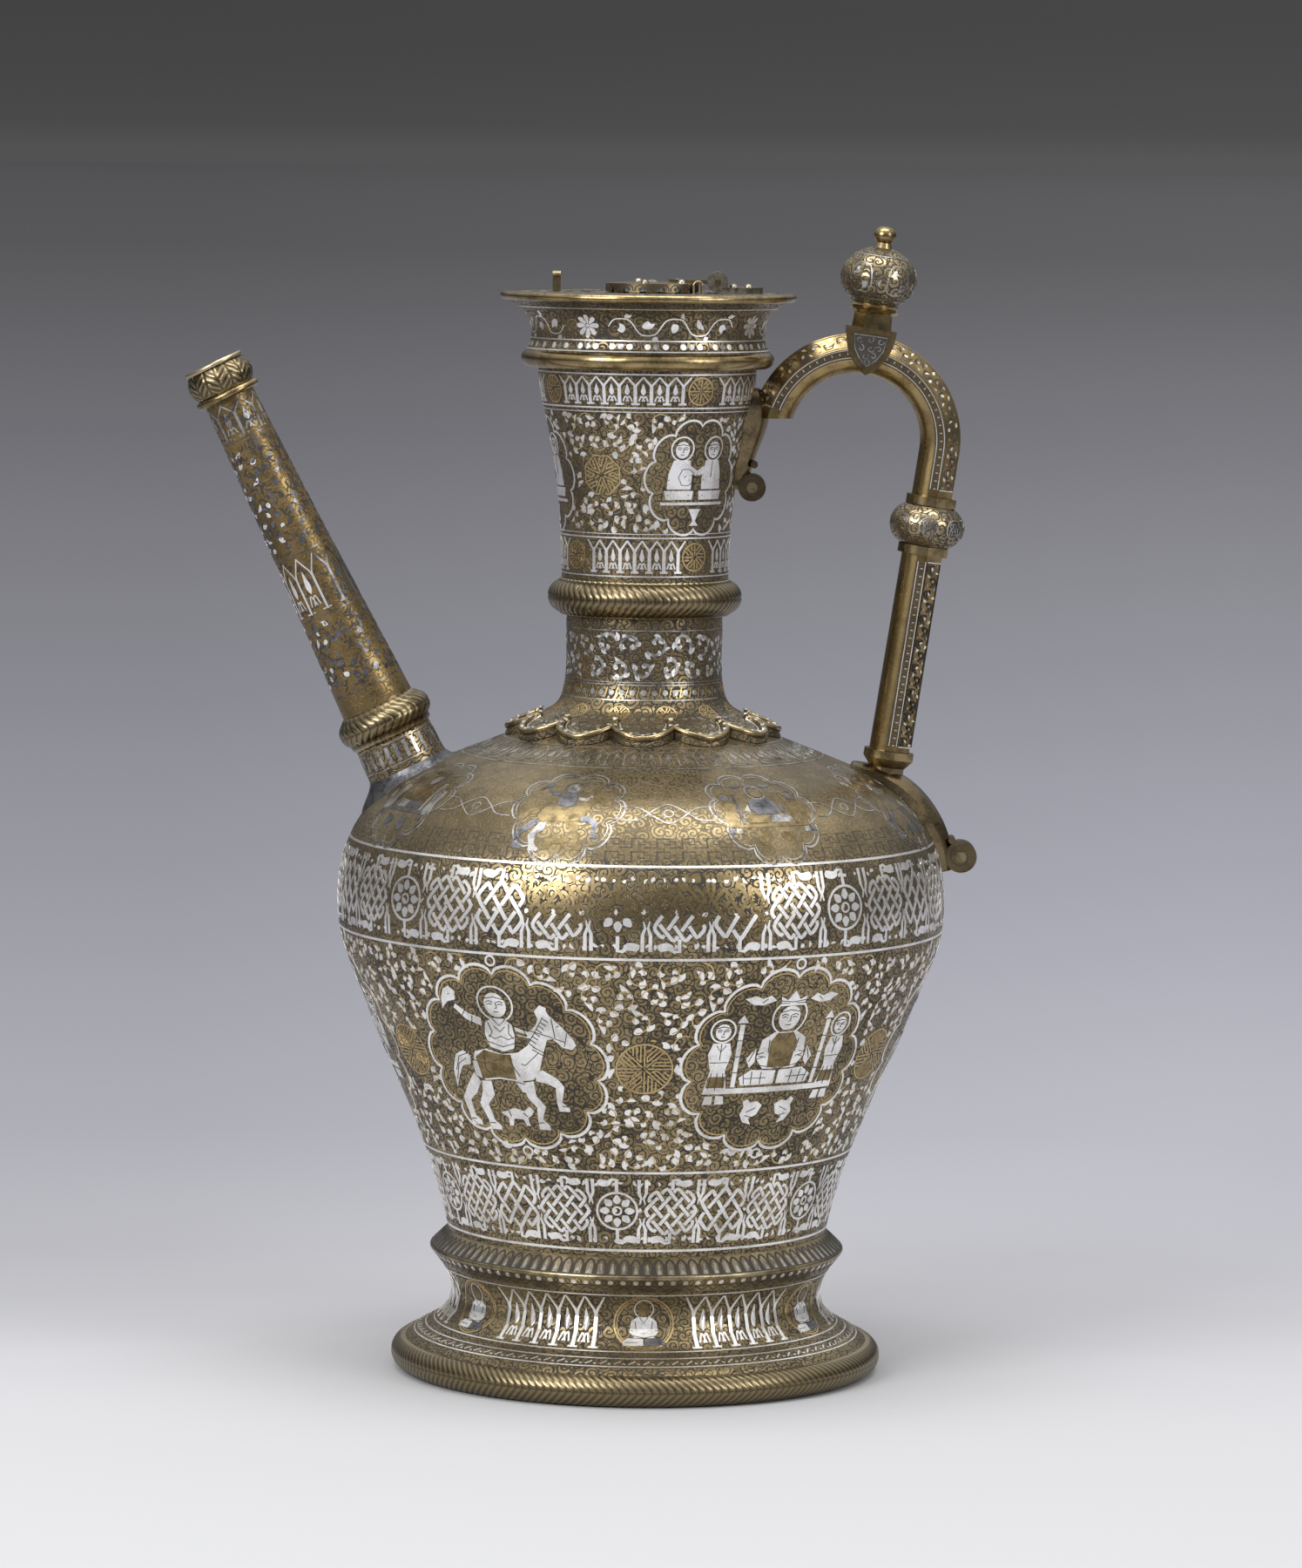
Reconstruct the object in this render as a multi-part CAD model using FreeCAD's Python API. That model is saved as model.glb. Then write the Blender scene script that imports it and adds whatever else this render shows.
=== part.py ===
import FreeCAD, Part
import math
import os
from FreeCAD import Placement, Rotation, Vector

# An inlaid brass ewer, put together from hammered sheet and cast mouldings that are soldered in a stack.
# Millimetres, +Z up. The origin is the middle of the foot, on the axis of the vessel.
# The spout points to -X and the handle stands on the +X side.

# Foot: a bead to stand on, a hollow cove and a sharp flange that takes the body
foot_flare_radius = 89.4
foot_edge_inset = 0.6            # from the foot's outer edge in to the middle of the bead
foot_bead_radius = 6.1
foot_bead_flat_depth = 0.4       # the bead is filed flat this deep, below and on top
foot_height = 29.7
foot_top_radius = 75.8
foot_waist_depth = 4.6           # from the foot's top edge in to its narrowest place
foot_wall = 2.0
foot_lower_shares = [(0.0, 1.0), (0.125, 0.72), (0.24, 0.39), (0.38, 0.15), (0.56, 0.0)]
foot_upper_shares = [(0.73, 0.13), (0.865, 0.48), (1.0, 1.0)]
flange_height = 13.0
flange_reach = 4.8               # from the foot's top edge out to the flange's ridge
flange_ridge_height_share = 0.46
flange_ridge_rounding = 1.2
flange_land = 2.0                # width of the ring that the body's lower edge stands on
flange_ledge = 1.6               # width of the ledge that carries the base disc
base_disc_thickness = 1.5
base_disc_clearance = 0.1

# Body: one hammered sheet, from the flange up over the shoulder to the neck
body_base_inset = 2.6            # from the foot's top edge in to the body's lower edge
body_radius = 117.2
belly_height = 130.0
shoulder_height = 70.0
body_land_radius = 33.0          # outer radius of the flat ring that the neck stands on
body_wall = 1.6
belly_shares = [(0.0, 0.0), (0.18, 0.145), (0.354, 0.336), (0.546, 0.584), (0.746, 0.825), (0.865, 0.957)]
shoulder_shares = [(0.0, 1.0), (0.243, 0.969), (0.479, 0.861), (0.634, 0.713), (0.737, 0.534),
                   (0.847, 0.3), (1.0, 0.0)]

# Neck base: the lower neck, opening into a collar of round lobes that lies on the shoulder
neck_height = 38.5
neck_radius = 29.9
neck_bore_radius = 28.3
neck_flare_shares = [(0.31, 0.026), (0.18, 0.078)]
collar_radius = 53.2
collar_valley_radius = 46.0
collar_lobes = 12
collar_seat_gap = 0.25
collar_tip_rise = 1.0
collar_rise_shares = [0.93, 0.711, 0.448, 0.194]
collar_rises = [2.5, 3.1, 3.4, 3.8]
collar_seat_shares = [0.03, 0.35, 0.7, 1.0]
collar_plan_depth = 12.0

# Neck ring: a hollow moulding between the lower neck and the cup
neck_ring_height = 13.8
neck_ring_radius = 37.4
neck_ring_lip = 0.6
neck_ring_lip_radius = 32.7

# Cup: the upper neck, which widens towards the mouth
cup_height = 80.7
cup_base_radius = 32.1
cup_top_radius = 41.9
cup_wall = 1.6
cup_shares = [(0.0, 0.0), (0.144, 0.02), (0.353, 0.14), (0.611, 0.42), (0.796, 0.74), (0.913, 0.93),
              (1.0, 1.0)]
cup_ring_height = 6.6
cup_ring_radius = 48.4
cup_ring_lip = 0.8
cup_ring_under_radius = 45.8
cup_ring_under_rise = 0.3
cup_ring_widest_share = 0.38

# Mouth: a hollow collar, a round rim and the plate let into it
mouth_height = 19.3
mouth_base_radius = 46.9
mouth_waist_radius = 44.8
mouth_top_radius = 54.8
mouth_wall = 1.5
mouth_lower_shares = [(0.0, 1.0), (0.15, 0.24), (0.38, 0.0)]
mouth_upper_shares = [(0.59, 0.06), (0.78, 0.29), (0.91, 0.61), (1.0, 1.0)]
rim_height = 3.2
rim_radius = 56.9
rim_ledge_width = 3.0
rim_ledge_height = 1.7
rim_recess_radius = 53.0
plate_thickness = 1.4
plate_clearance = 0.1
filler_radius = 14.0

# Lid: a small cap with an arcaded side, turning on a pin across the plate
lid_offset = 1.3                 # the filler and its lid lie this far to the handle's side of the axis
lid_radius = 17.8
lid_height = 3.3
lid_top_thickness = 1.1
lid_wall = 1.3
lid_seat_gap = 0.3
lid_dome_rise = 0.6
lid_arches = 16
lid_arch_radius = 1.35
lid_arch_centre_share = 0.2
lid_rivet_turns = [-102.0, -30.0, 42.0, 114.0]
lid_rivet_radius = 1.7
lid_rivet_height = 1.4
lid_rivet_ring_share = 0.73
lid_boss_radius = 2.4            # the low head in the middle of the cap
lid_boss_height = 0.8
hinge_reach = 25.1               # from the middle of the lid to the pin
hinge_barrel_radius = 4.0
hinge_lift = 0.3                 # daylight between the barrel and the plate
hinge_pin_radius = 1.2
hinge_pin_clearance = 0.35
hinge_width = 17.0
hinge_middle_width = 5.2
hinge_side_gap = 0.4
hinge_leaf_length = 17.5
hinge_leaf_thickness = 2.4
hinge_leaf_waist_share = 0.62
strap_thickness = 0.9
strap_length = 11.5
strap_tail_width = 8.4
leaf_rivet_radius = 1.6
leaf_rivet_height = 1.4
leaf_rivet_shares = [(0.36, 0.24), (0.36, -0.24), (0.68, 0.0)]
pin_head = 0.9
staple_wire_radius = 0.5
staple_span = 3.4
staple_height = 5.0
staple_reach = 5.8                # from the pin to the nearer leg
staple_offset = 10.0              # sideways, from the middle of the hinge

# Catch: a strip riveted upright through the plate and curled over at its top
catch_offset = 35.3
catch_width = 3.1
catch_thickness = 1.3
catch_height = 6.1
catch_curl_radius = 1.9

# Spout: a straight tapering tube on a short socket that is soldered to the shoulder
spout_lean = 26.3                # degrees from upright
spout_foot_share = 0.7654        # where its axis meets the shoulder, as a share of the body's radius
socket_length = 23.4             # from there to the middle of the ring moulding
socket_sink = 16.0
socket_top_radius = 15.3
socket_flare = 2.6
socket_bore_radius = 12.6
solder_width = 3.2
solder_height = 4.2
spout_ring_rise = 5.8
spout_ring_drop = 8.0
spout_ring_radius = 18.9
spout_ring_shoulder_radius = 16.5
spout_ring_shoulder_share = 0.66
spout_ring_bead_share = 0.85
tube_length = 130.6
tube_base_radius = 14.4
tube_tip_radius = 9.95
tube_middle_share = 0.46
tube_middle_radius = 12.0
tube_wall = 1.7
mouth_ring_height = 3.0
mouth_ring_radius = 12.9
bulb_height = 10.2
bulb_radius = 13.25
bulb_end_radius = 11.4
bulb_neck_radius = 11.15
bulb_throat_radius = 9.0
spout_lip_height = 1.7
spout_lip_radius = 11.7
spout_mouth_radius = 10.2

# Handle: a cast bar, plain and round inside, flat at the sides and bevelled to a narrow outer face
bar_depth = 15.5
bar_width = 15.0
bar_face_width = 5.0
bar_flat_outer_share = 0.24      # of the half depth, where the flat side gives way to the bevel
bar_flat_inner_share = 0.26
arch_centre_radius = 80.0
arch_drop = 26.0                 # from the top of the cup down to the middle of the arch
arch_radius = 32.75
arch_foot_rise = 7.5             # the arch is cut level this far above its middle, at the neck
shaft_foot_share = 0.7943        # where the shaft meets the shoulder, as a share of the body's radius
arch_leg = 17.2
band_grow = 1.8                  # how far the faceted bands stand out from the bar
knop_band_height = 3.4
knop_height = 15.7
knop_radius = 14.3
knop_end_radius = 8.8
shaft_band_height = 3.0
shaft_band_taper = 3.4            # height of the taper under the band
shaft_root_shrink = 1.0
shaft_root_height = 6.4          # from that taper down to the shoulder, along the bar

# Bracket: the tongue that holds the arch on the cup, ending in a scroll
bracket_half_widths = [7.4, 8.6, 8.2, 6.6, 4.9, 4.2]
bracket_thicknesses = [2.4, 5.8, 7.9, 7.2, 5.8, 4.6]
bracket_drops = [7.0, 10.9, 17.4, 26.4, 34.4, 45.9]
bracket_scroll_drop = 44.4
bracket_scroll_stand = 6.4
bracket_scroll_radius = 5.3
bracket_bead_drop = 35.4
bracket_bead_stand = 6.0

# Leaf: the tongue that holds the shaft on the shoulder, ending in a scroll
leaf_half_widths = [6.6, 8.6, 9.2, 8.8, 7.6, 6.2, 5.2, 4.8]
leaf_thicknesses = [2.2, 5.6, 7.0, 7.4, 7.1, 6.5, 5.4, 4.0]
leaf_rises = [50.6, 46.5, 41.5, 35.5, 29.0, 22.5, 16.0, 10.5]
leaf_scroll_rise = 14.3
leaf_scroll_stand = 8.2
leaf_scroll_radius = 6.1
leaf_bead_rise = 20.2
leaf_bead_stand = 6.8
tongue_edge_share = 0.42         # height of a tongue's side, as a share of its thickness
tongue_sink = 4.0
scroll_half_width = 4.6
scroll_bead_radius = 1.4
scroll_pin_radius = 2.1
scroll_pin_head = 0.5

# Shield and finial: a saddle over the arch, with a small onion knob on it
finial_lean = 7.6                # degrees from upright
shield_half_width = 9.6
shield_top_rise = 10.0           # above the middle line of the arch
shield_drop = 7.9
shield_face = 2.1                # how far its faces stand out from the sides of the bar
shield_border = 1.9
shield_recess = 0.6
shield_point_inset_share = 2.2   # the inner outline is shorter by the border times this
shield_side_shares = [(1.0, 0.0), (0.93, 0.33), (0.6, 0.72), (0.0, 1.0)]
finial_neck_height = 5.8
finial_neck_radius = 8.2
finial_neck_sides = 8
finial_neck_taper_share = 0.94
finial_ring_height = 3.8
finial_ring_radius = 9.8
finial_ring_lip_share = 0.3
knob_height = 21.4
knob_radius = 14.75
knob_foot_radius = 8.6
knob_crown_radius = 4.6
knob_side_shares = [(0.0, 0.0), (0.16, 0.62), (0.42, 1.0)]
knob_crown_shares = [(0.72, 0.82), (0.92, 0.36), (1.0, 0.0)]
ball_neck_height = 2.0
ball_neck_radius = 3.4
ball_neck_taper_share = 0.8
ball_radius = 4.3
ball_height = 6.2

overrun = 1.0                    # how far cutting shapes run past what they cut
halvings = 48                    # steps of a search by halves


def save(shape, name):
    """Write one piece as its own file."""
    shape.exportStep("parts/" + name + ".step")


def at(radius, height):
    """A point in the plane of the axis."""
    return Vector(radius, 0, height)


def line(start, end):
    """A straight edge between two (radius, height) points."""
    return Part.makeLine(at(*start), at(*end))


def arc(start, middle, end):
    """A round edge through three (radius, height) points."""
    return Part.Arc(at(*start), at(*middle), at(*end)).toShape()


def smooth(points):
    """A smooth curve through (radius, height) points."""
    curve = Part.BSplineCurve()
    curve.interpolate([at(*point) for point in points])
    return curve


def chain(points):
    """Straight edges from point to point."""
    return [line(start, end) for start, end in zip(points, points[1:])]


def turn(edges):
    """Turn a closed outline about the axis into a solid."""
    face = Part.Face(Part.Wire(Part.__sortEdges__(edges)))
    return face.revolve(Vector(0, 0, 0), Vector(0, 0, 1), 360)


def close_to_axis(edge_list, first, last):
    """Close an outside outline along the axis, for a solid core."""
    corners = [last, (0, last[1]), (0, first[1]), first]
    return edge_list + chain(corners)


def sheet(points, wall):
    """Turn a sheet of even thickness whose outside goes through the points. Its edges are level."""
    outside = smooth(points)
    inner_points = []
    for radius, height in points:
        along = outside.tangent(outside.parameter(at(radius, height)))[0]
        inner_points.append((radius - wall / abs(along.z), height))
    inside = smooth(inner_points)
    ends = [line(points[0], inner_points[0]), line(points[-1], inner_points[-1])]
    return turn([outside.toShape(), inside.toShape()] + ends)


def core(points):
    """The space inside a smooth outside outline, as a solid."""
    return turn(close_to_axis([smooth(points).toShape()], points[0], points[-1]))


def place_at_height(curve, height):
    """The point and the outward normal where an outline that only climbs passes a height."""
    low, high = curve.FirstParameter, curve.LastParameter
    for _ in range(halvings):
        middle = (low + high) / 2
        if curve.value(middle).z < height:
            low = middle
        else:
            high = middle
    along = curve.tangent(middle)[0]
    return curve.value(middle), Vector(along.z, 0, -along.x)


def height_at_radius(curve, radius, start):
    """The height of an outline at a radius, above the height where it is widest."""
    low, high = curve.parameter(at(*start)), curve.LastParameter
    for _ in range(halvings):
        middle = (low + high) / 2
        if curve.value(middle).x > radius:
            low = middle
        else:
            high = middle
    return curve.value(middle).z


def rod(radius, height, base, direction):
    """A plain round rod."""
    return Part.makeCylinder(radius, height, base, direction)


def largest(shape):
    """The largest solid of a cut, without offcuts."""
    return max(shape.Solids, key=lambda solid: solid.Volume)


# Foot ring
foot_ring_radius = foot_flare_radius - foot_edge_inset
bead_centre_height = foot_bead_radius - foot_bead_flat_depth
foot_ring_top = 2 * bead_centre_height
bead_flat = math.sqrt(foot_bead_radius ** 2 - bead_centre_height ** 2)
bead_in = foot_ring_radius - foot_bead_radius
bead_out = foot_ring_radius + foot_bead_radius
flat_in = foot_ring_radius - bead_flat
flat_out = foot_ring_radius + bead_flat
foot_ring = turn([
    line((flat_in, 0), (flat_out, 0)),
    arc((flat_out, 0), (bead_out, bead_centre_height), (flat_out, foot_ring_top)),
    line((flat_out, foot_ring_top), (flat_in, foot_ring_top)),
    arc((flat_in, foot_ring_top), (bead_in, bead_centre_height), (flat_in, 0)),
])
save(foot_ring, "foot_ring")

# Foot
foot_waist_radius = foot_top_radius - foot_waist_depth
foot_points = []
for height_share, out_share in foot_lower_shares:
    radius = foot_waist_radius + out_share * (foot_flare_radius - foot_waist_radius)
    foot_points.append((radius, foot_ring_top + height_share * foot_height))
for height_share, out_share in foot_upper_shares:
    radius = foot_waist_radius + out_share * (foot_top_radius - foot_waist_radius)
    foot_points.append((radius, foot_ring_top + height_share * foot_height))
save(sheet(foot_points, foot_wall), "foot")
foot_top = foot_ring_top + foot_height

# Flange, with a recess for the base disc
body_base = foot_top + flange_height
body_base_radius = foot_top_radius - body_base_inset
flange_radius = foot_top_radius + flange_reach
flange_ridge = foot_top + flange_ridge_height_share * flange_height
recess_radius = body_base_radius - flange_land
flange_bore_radius = recess_radius - flange_ledge
base_disc_seat = body_base - base_disc_thickness
flange = turn(chain([
    (flange_bore_radius, foot_top),
    (foot_top_radius, foot_top),
    (flange_radius, flange_ridge),
    (body_base_radius, body_base),
    (recess_radius, body_base),
    (recess_radius, base_disc_seat),
    (flange_bore_radius, base_disc_seat),
    (flange_bore_radius, foot_top),
]))
near = flange_ridge_rounding / 10
ridge = [edge for edge in flange.Edges
         if abs(edge.BoundBox.XMax - flange_radius) < near and edge.BoundBox.ZLength < near]
save(flange.makeFillet(flange_ridge_rounding, ridge), "foot_flange")
base_disc_radius = recess_radius - base_disc_clearance
save(rod(base_disc_radius, base_disc_thickness, at(0, base_disc_seat), Vector(0, 0, 1)), "base_disc")

# Body
body_points = []
for height_share, out_share in belly_shares:
    radius = body_base_radius + out_share * (body_radius - body_base_radius)
    body_points.append((radius, body_base + height_share * belly_height))
widest = body_base + belly_height
for height_share, out_share in shoulder_shares:
    radius = body_land_radius + out_share * (body_radius - body_land_radius)
    body_points.append((radius, widest + height_share * shoulder_height))
body_top = widest + shoulder_height
body_curve = smooth(body_points)
body_core = core(body_points)
body_shell = sheet(body_points, body_wall)

# Spout frame: along the spout's own axis, measured from the middle of its ring moulding
spout_turn = Rotation(Vector(0, 1, 0), -spout_lean)
spout_direction = spout_turn.multVec(Vector(0, 0, 1))
spout_foot_radius = spout_foot_share * body_radius
spout_foot_height = height_at_radius(body_curve, spout_foot_radius, (body_radius, widest))
spout_foot = at(-spout_foot_radius, spout_foot_height)
spout_frame = Placement(spout_foot + spout_direction * socket_length, spout_turn)


def on_spout(solid):
    """Move a piece turned about Z onto the spout's axis."""
    solid.Placement = spout_frame
    return solid


socket_base = -socket_length - socket_sink
way_length = socket_sink + socket_length
spout_way = on_spout(rod(socket_bore_radius, way_length, at(0, socket_base), Vector(0, 0, 1)))
save(largest(body_shell.cut(spout_way)), "body_shell")

# Neck base, whose collar follows the shoulder
collar_reach = collar_radius - neck_radius


def over_shoulder(radius, rise):
    """A point that stands a given height above the shoulder."""
    return (radius, height_at_radius(body_curve, radius, (body_radius, widest)) + rise)


neck_top = body_top + neck_height
collar_points = [over_shoulder(collar_radius, collar_tip_rise)]
for share, rise in zip(collar_rise_shares, collar_rises):
    collar_points.append(over_shoulder(neck_radius + share * collar_reach, rise))
neck_points = [(neck_radius + out_share * collar_reach, body_top + height_share * neck_height)
               for height_share, out_share in neck_flare_shares[::-1]]
neck_points += [(neck_radius, body_top + neck_height / 2), (neck_radius, neck_top)]
seat_reach = collar_radius - body_land_radius
seat_radii = [body_land_radius + share * seat_reach for share in collar_seat_shares]
seat_points = [over_shoulder(radius, collar_seat_gap) for radius in seat_radii]
seat_edge = (seat_radii[0], body_top)
neck_base = turn([
    smooth(collar_points + neck_points).toShape(),
    smooth(seat_points).toShape(),
    line(collar_points[0], seat_points[-1]),
] + chain([
    seat_points[0],
    seat_edge,
    (neck_bore_radius, body_top),
    (neck_bore_radius, neck_top),
    (neck_radius, neck_top),
]))

# The collar's plan: round lobes that meet in valleys, one of them at the front
half_pitch = math.pi / collar_lobes
valley_x = collar_valley_radius * math.cos(half_pitch)
valley_y = collar_valley_radius * math.sin(half_pitch)
lobe_offset = (collar_radius ** 2 - valley_x ** 2 - valley_y ** 2) / (2 * (collar_radius - valley_x))
lobe_radius = collar_radius - lobe_offset
plan_base = body_top - collar_plan_depth
plan_height = collar_plan_depth + neck_height + overrun
plan = rod(lobe_offset, plan_height, at(0, plan_base), Vector(0, 0, 1))
for number in range(collar_lobes):
    turned_by = 2 * half_pitch * number
    centre = Vector(lobe_offset * math.sin(turned_by), -lobe_offset * math.cos(turned_by), plan_base)
    plan = plan.fuse(rod(lobe_radius, plan_height, centre, Vector(0, 0, 1)))
save(largest(neck_base.common(plan)), "neck_base")

# Neck ring
neck_ring_top = neck_top + neck_ring_height
neck_ring_low = (neck_ring_lip_radius, neck_top + neck_ring_lip)
neck_ring_middle = (neck_ring_radius, neck_top + neck_ring_height / 2)
neck_ring_high = (neck_ring_lip_radius, neck_ring_top - neck_ring_lip)
neck_ring = turn([arc(neck_ring_low, neck_ring_middle, neck_ring_high)] + chain([
    neck_ring_high,
    (neck_ring_lip_radius, neck_ring_top),
    (neck_bore_radius, neck_ring_top),
    (neck_bore_radius, neck_top),
    (neck_ring_lip_radius, neck_top),
    neck_ring_low,
]))
save(neck_ring, "neck_ring")

# Cup
cup_flare = cup_top_radius - cup_base_radius
cup_points = [(cup_base_radius + out_share * cup_flare, neck_ring_top + height_share * cup_height)
              for height_share, out_share in cup_shares]
cup_curve = smooth(cup_points)
cup_core = core(cup_points)
save(sheet(cup_points, cup_wall), "neck_cup")
cup_top = neck_ring_top + cup_height

# Cup ring: a bead with a nearly flat underside
cup_ring_top = cup_top + cup_ring_height
cup_ring_bore = cup_top_radius - cup_wall
cup_ring_foot = (cup_top_radius + cup_ring_lip, cup_top)
cup_ring_head = (mouth_base_radius, cup_ring_top)
cup_ring_under = (cup_ring_under_radius, cup_top + cup_ring_under_rise)
cup_ring_widest = (cup_ring_radius, cup_top + cup_ring_widest_share * cup_ring_height)
cup_ring = turn([arc(cup_ring_under, cup_ring_widest, cup_ring_head)] + chain([
    cup_ring_head,
    (cup_ring_bore, cup_ring_top),
    (cup_ring_bore, cup_top),
    cup_ring_foot,
    cup_ring_under,
]))
save(cup_ring, "cup_ring")

# Mouth collar
mouth_points = []
for height_share, out_share in mouth_lower_shares:
    radius = mouth_waist_radius + out_share * (mouth_base_radius - mouth_waist_radius)
    mouth_points.append((radius, cup_ring_top + height_share * mouth_height))
for height_share, out_share in mouth_upper_shares:
    radius = mouth_waist_radius + out_share * (mouth_top_radius - mouth_waist_radius)
    mouth_points.append((radius, cup_ring_top + height_share * mouth_height))
save(sheet(mouth_points, mouth_wall), "mouth_collar")
mouth_top = cup_ring_top + mouth_height

# Rim ring, with a ledge for the plate
rim_top = mouth_top + rim_height
plate_seat = mouth_top + rim_ledge_height
rim_bore = rim_recess_radius - rim_ledge_width
rim_shoulder = rim_radius - rim_height / 2
rim_middle = (rim_radius, mouth_top + rim_height / 2)
rim_ring = turn([arc((rim_shoulder, mouth_top), rim_middle, (rim_shoulder, rim_top))] + chain([
    (rim_shoulder, rim_top),
    (rim_recess_radius, rim_top),
    (rim_recess_radius, plate_seat),
    (rim_bore, plate_seat),
    (rim_bore, mouth_top),
    (rim_shoulder, mouth_top),
]))
save(rim_ring, "rim_ring")

# Mouth plate, with the filler hole
plate_top = plate_seat + plate_thickness
plate = rod(rim_recess_radius - plate_clearance, plate_thickness, at(0, plate_seat), Vector(0, 0, 1))
filler_start = at(lid_offset, plate_seat - overrun)
filler = rod(filler_radius, plate_thickness + 2 * overrun, filler_start, Vector(0, 0, 1))
save(plate.cut(filler), "mouth_plate")

# Lid cap: a shallow dome on an arcaded side
lid_base = plate_top + lid_seat_gap
lid_shoulder = lid_base + lid_height
lid_crown = lid_shoulder + lid_dome_rise
dome_ball = (lid_radius ** 2 + lid_dome_rise ** 2) / (2 * lid_dome_rise)
lid_cap = rod(lid_radius, lid_crown - lid_base, at(0, lid_base), Vector(0, 0, 1))
lid_cap = lid_cap.common(Part.makeSphere(dome_ball, at(0, lid_crown - dome_ball)))
lid_hollow = rod(lid_radius - lid_wall, lid_height - lid_top_thickness, at(0, lid_base), Vector(0, 0, 1))
lid_cap = lid_cap.cut(lid_hollow)
arch_height = lid_base + lid_arch_centre_share * lid_height
for number in range(lid_arches):
    facing = Rotation(Vector(0, 0, 1), 360 * (number + 0.5) / lid_arches).multVec(Vector(1, 0, 0))
    hole_start = facing * (lid_radius - 1.5 * lid_wall) + at(0, arch_height)
    lid_cap = lid_cap.cut(rod(lid_arch_radius, 2 * lid_wall, hole_start, facing))
lid_cap.translate(at(lid_offset, 0))
lid_cap = largest(lid_cap)
save(lid_cap, "lid_cap")

# Lid strap: from the top of the cap to the middle knuckle of the hinge
pin_x = lid_offset + hinge_reach
pin_height = plate_top + hinge_lift + hinge_barrel_radius
strap_start = lid_offset + lid_radius - strap_length
strap_end = strap_start + strap_length
strap_widest = strap_start + strap_length / 3
half_tail = strap_tail_width / 2
half_middle = hinge_middle_width / 2
strap_plan = Part.makePolygon([
    Vector(strap_start, 0, lid_shoulder),
    Vector(strap_widest, -half_tail, lid_shoulder),
    Vector(strap_end, -half_middle, lid_shoulder),
    Vector(pin_x, -half_middle, lid_shoulder),
    Vector(pin_x, half_middle, lid_shoulder),
    Vector(strap_end, half_middle, lid_shoulder),
    Vector(strap_widest, half_tail, lid_shoulder),
    Vector(strap_start, 0, lid_shoulder),
])
strap_plate = Part.Face(strap_plan).extrude(Vector(0, 0, lid_dome_rise + strap_thickness))
knuckle_start = Vector(pin_x, -half_middle, pin_height)
knuckle = rod(hinge_barrel_radius, hinge_middle_width, knuckle_start, Vector(0, 1, 0))
eye_start = Vector(pin_x, -half_middle - overrun, pin_height)
eye_radius = hinge_pin_radius + hinge_pin_clearance
eye = rod(eye_radius, hinge_middle_width + 2 * overrun, eye_start, Vector(0, 1, 0))
lid_strap = strap_plate.fuse(knuckle).cut(eye).cut(lid_cap)
save(largest(lid_strap), "lid_strap")


def rivet_head(radius, height, spot):
    """A domed head of a given radius and height, with a short root below the spot."""
    ball_size = (radius ** 2 + height ** 2) / (2 * height)
    ball = Part.makeSphere(ball_size, spot + Vector(0, 0, height - ball_size))
    return ball.common(rod(ball_size, height + overrun, spot - Vector(0, 0, overrun), Vector(0, 0, 1)))


# Lid rivets: domed heads in a ring on the cap, and a low one in its middle
rivet_ring = lid_rivet_ring_share * lid_radius
middle_head = rivet_head(lid_boss_radius, lid_boss_height, at(lid_offset, lid_crown))
rivet_list = [largest(middle_head.cut(lid_cap))]
for rivet_turn in lid_rivet_turns:
    facing = Rotation(Vector(0, 0, 1), rivet_turn).multVec(Vector(1, 0, 0))
    rivet_spot = facing * rivet_ring + at(lid_offset, lid_shoulder + lid_dome_rise / 2)
    rivet_list.append(largest(rivet_head(lid_rivet_radius, lid_rivet_height, rivet_spot).cut(lid_cap)))
save(Part.makeCompound(rivet_list), "lid_rivets")

# Hinge leaf: a pointed plate on the mouth plate, with a knuckle each side of the lid's
leaf_end = pin_x + hinge_leaf_length
half_hinge = hinge_width / 2
leaf_waist_x = pin_x + hinge_leaf_waist_share * hinge_leaf_length
leaf_plan = Part.makePolygon([
    Vector(pin_x, -half_hinge, plate_top),
    Vector(leaf_waist_x, -half_hinge, plate_top),
    Vector(leaf_end, 0, plate_top),
    Vector(leaf_waist_x, half_hinge, plate_top),
    Vector(pin_x, half_hinge, plate_top),
    Vector(pin_x, -half_hinge, plate_top),
])
leaf_plate = Part.Face(leaf_plan).extrude(Vector(0, 0, hinge_leaf_thickness))
barrel = rod(hinge_barrel_radius, hinge_width, Vector(pin_x, -half_hinge, pin_height), Vector(0, 1, 0))
middle_gap = hinge_middle_width + 2 * hinge_side_gap
gap_reach = hinge_barrel_radius + hinge_side_gap
gap = Part.makeBox(2 * gap_reach, middle_gap, 2 * gap_reach + overrun,
                   Vector(pin_x - gap_reach, -middle_gap / 2, pin_height - gap_reach - overrun))
pin_start = Vector(pin_x, -half_hinge - pin_head, pin_height)
hinge_pin = rod(hinge_pin_radius, hinge_width + 2 * pin_head, pin_start, Vector(0, 1, 0))
hinge_leaf = leaf_plate.fuse(barrel).cut(gap).cut(hinge_pin)
save(hinge_pin, "hinge_pin")
save(largest(hinge_leaf), "hinge_leaf")
leaf_heads = []
for along_share, across_share in leaf_rivet_shares:
    rivet_spot = Vector(pin_x + along_share * hinge_leaf_length, across_share * hinge_width,
                        plate_top + hinge_leaf_thickness)
    head = rivet_head(leaf_rivet_radius, leaf_rivet_height, rivet_spot)
    leaf_heads.append(largest(head.cut(leaf_plate).cut(barrel)))
save(Part.makeCompound(leaf_heads), "hinge_leaf_rivets")

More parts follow.
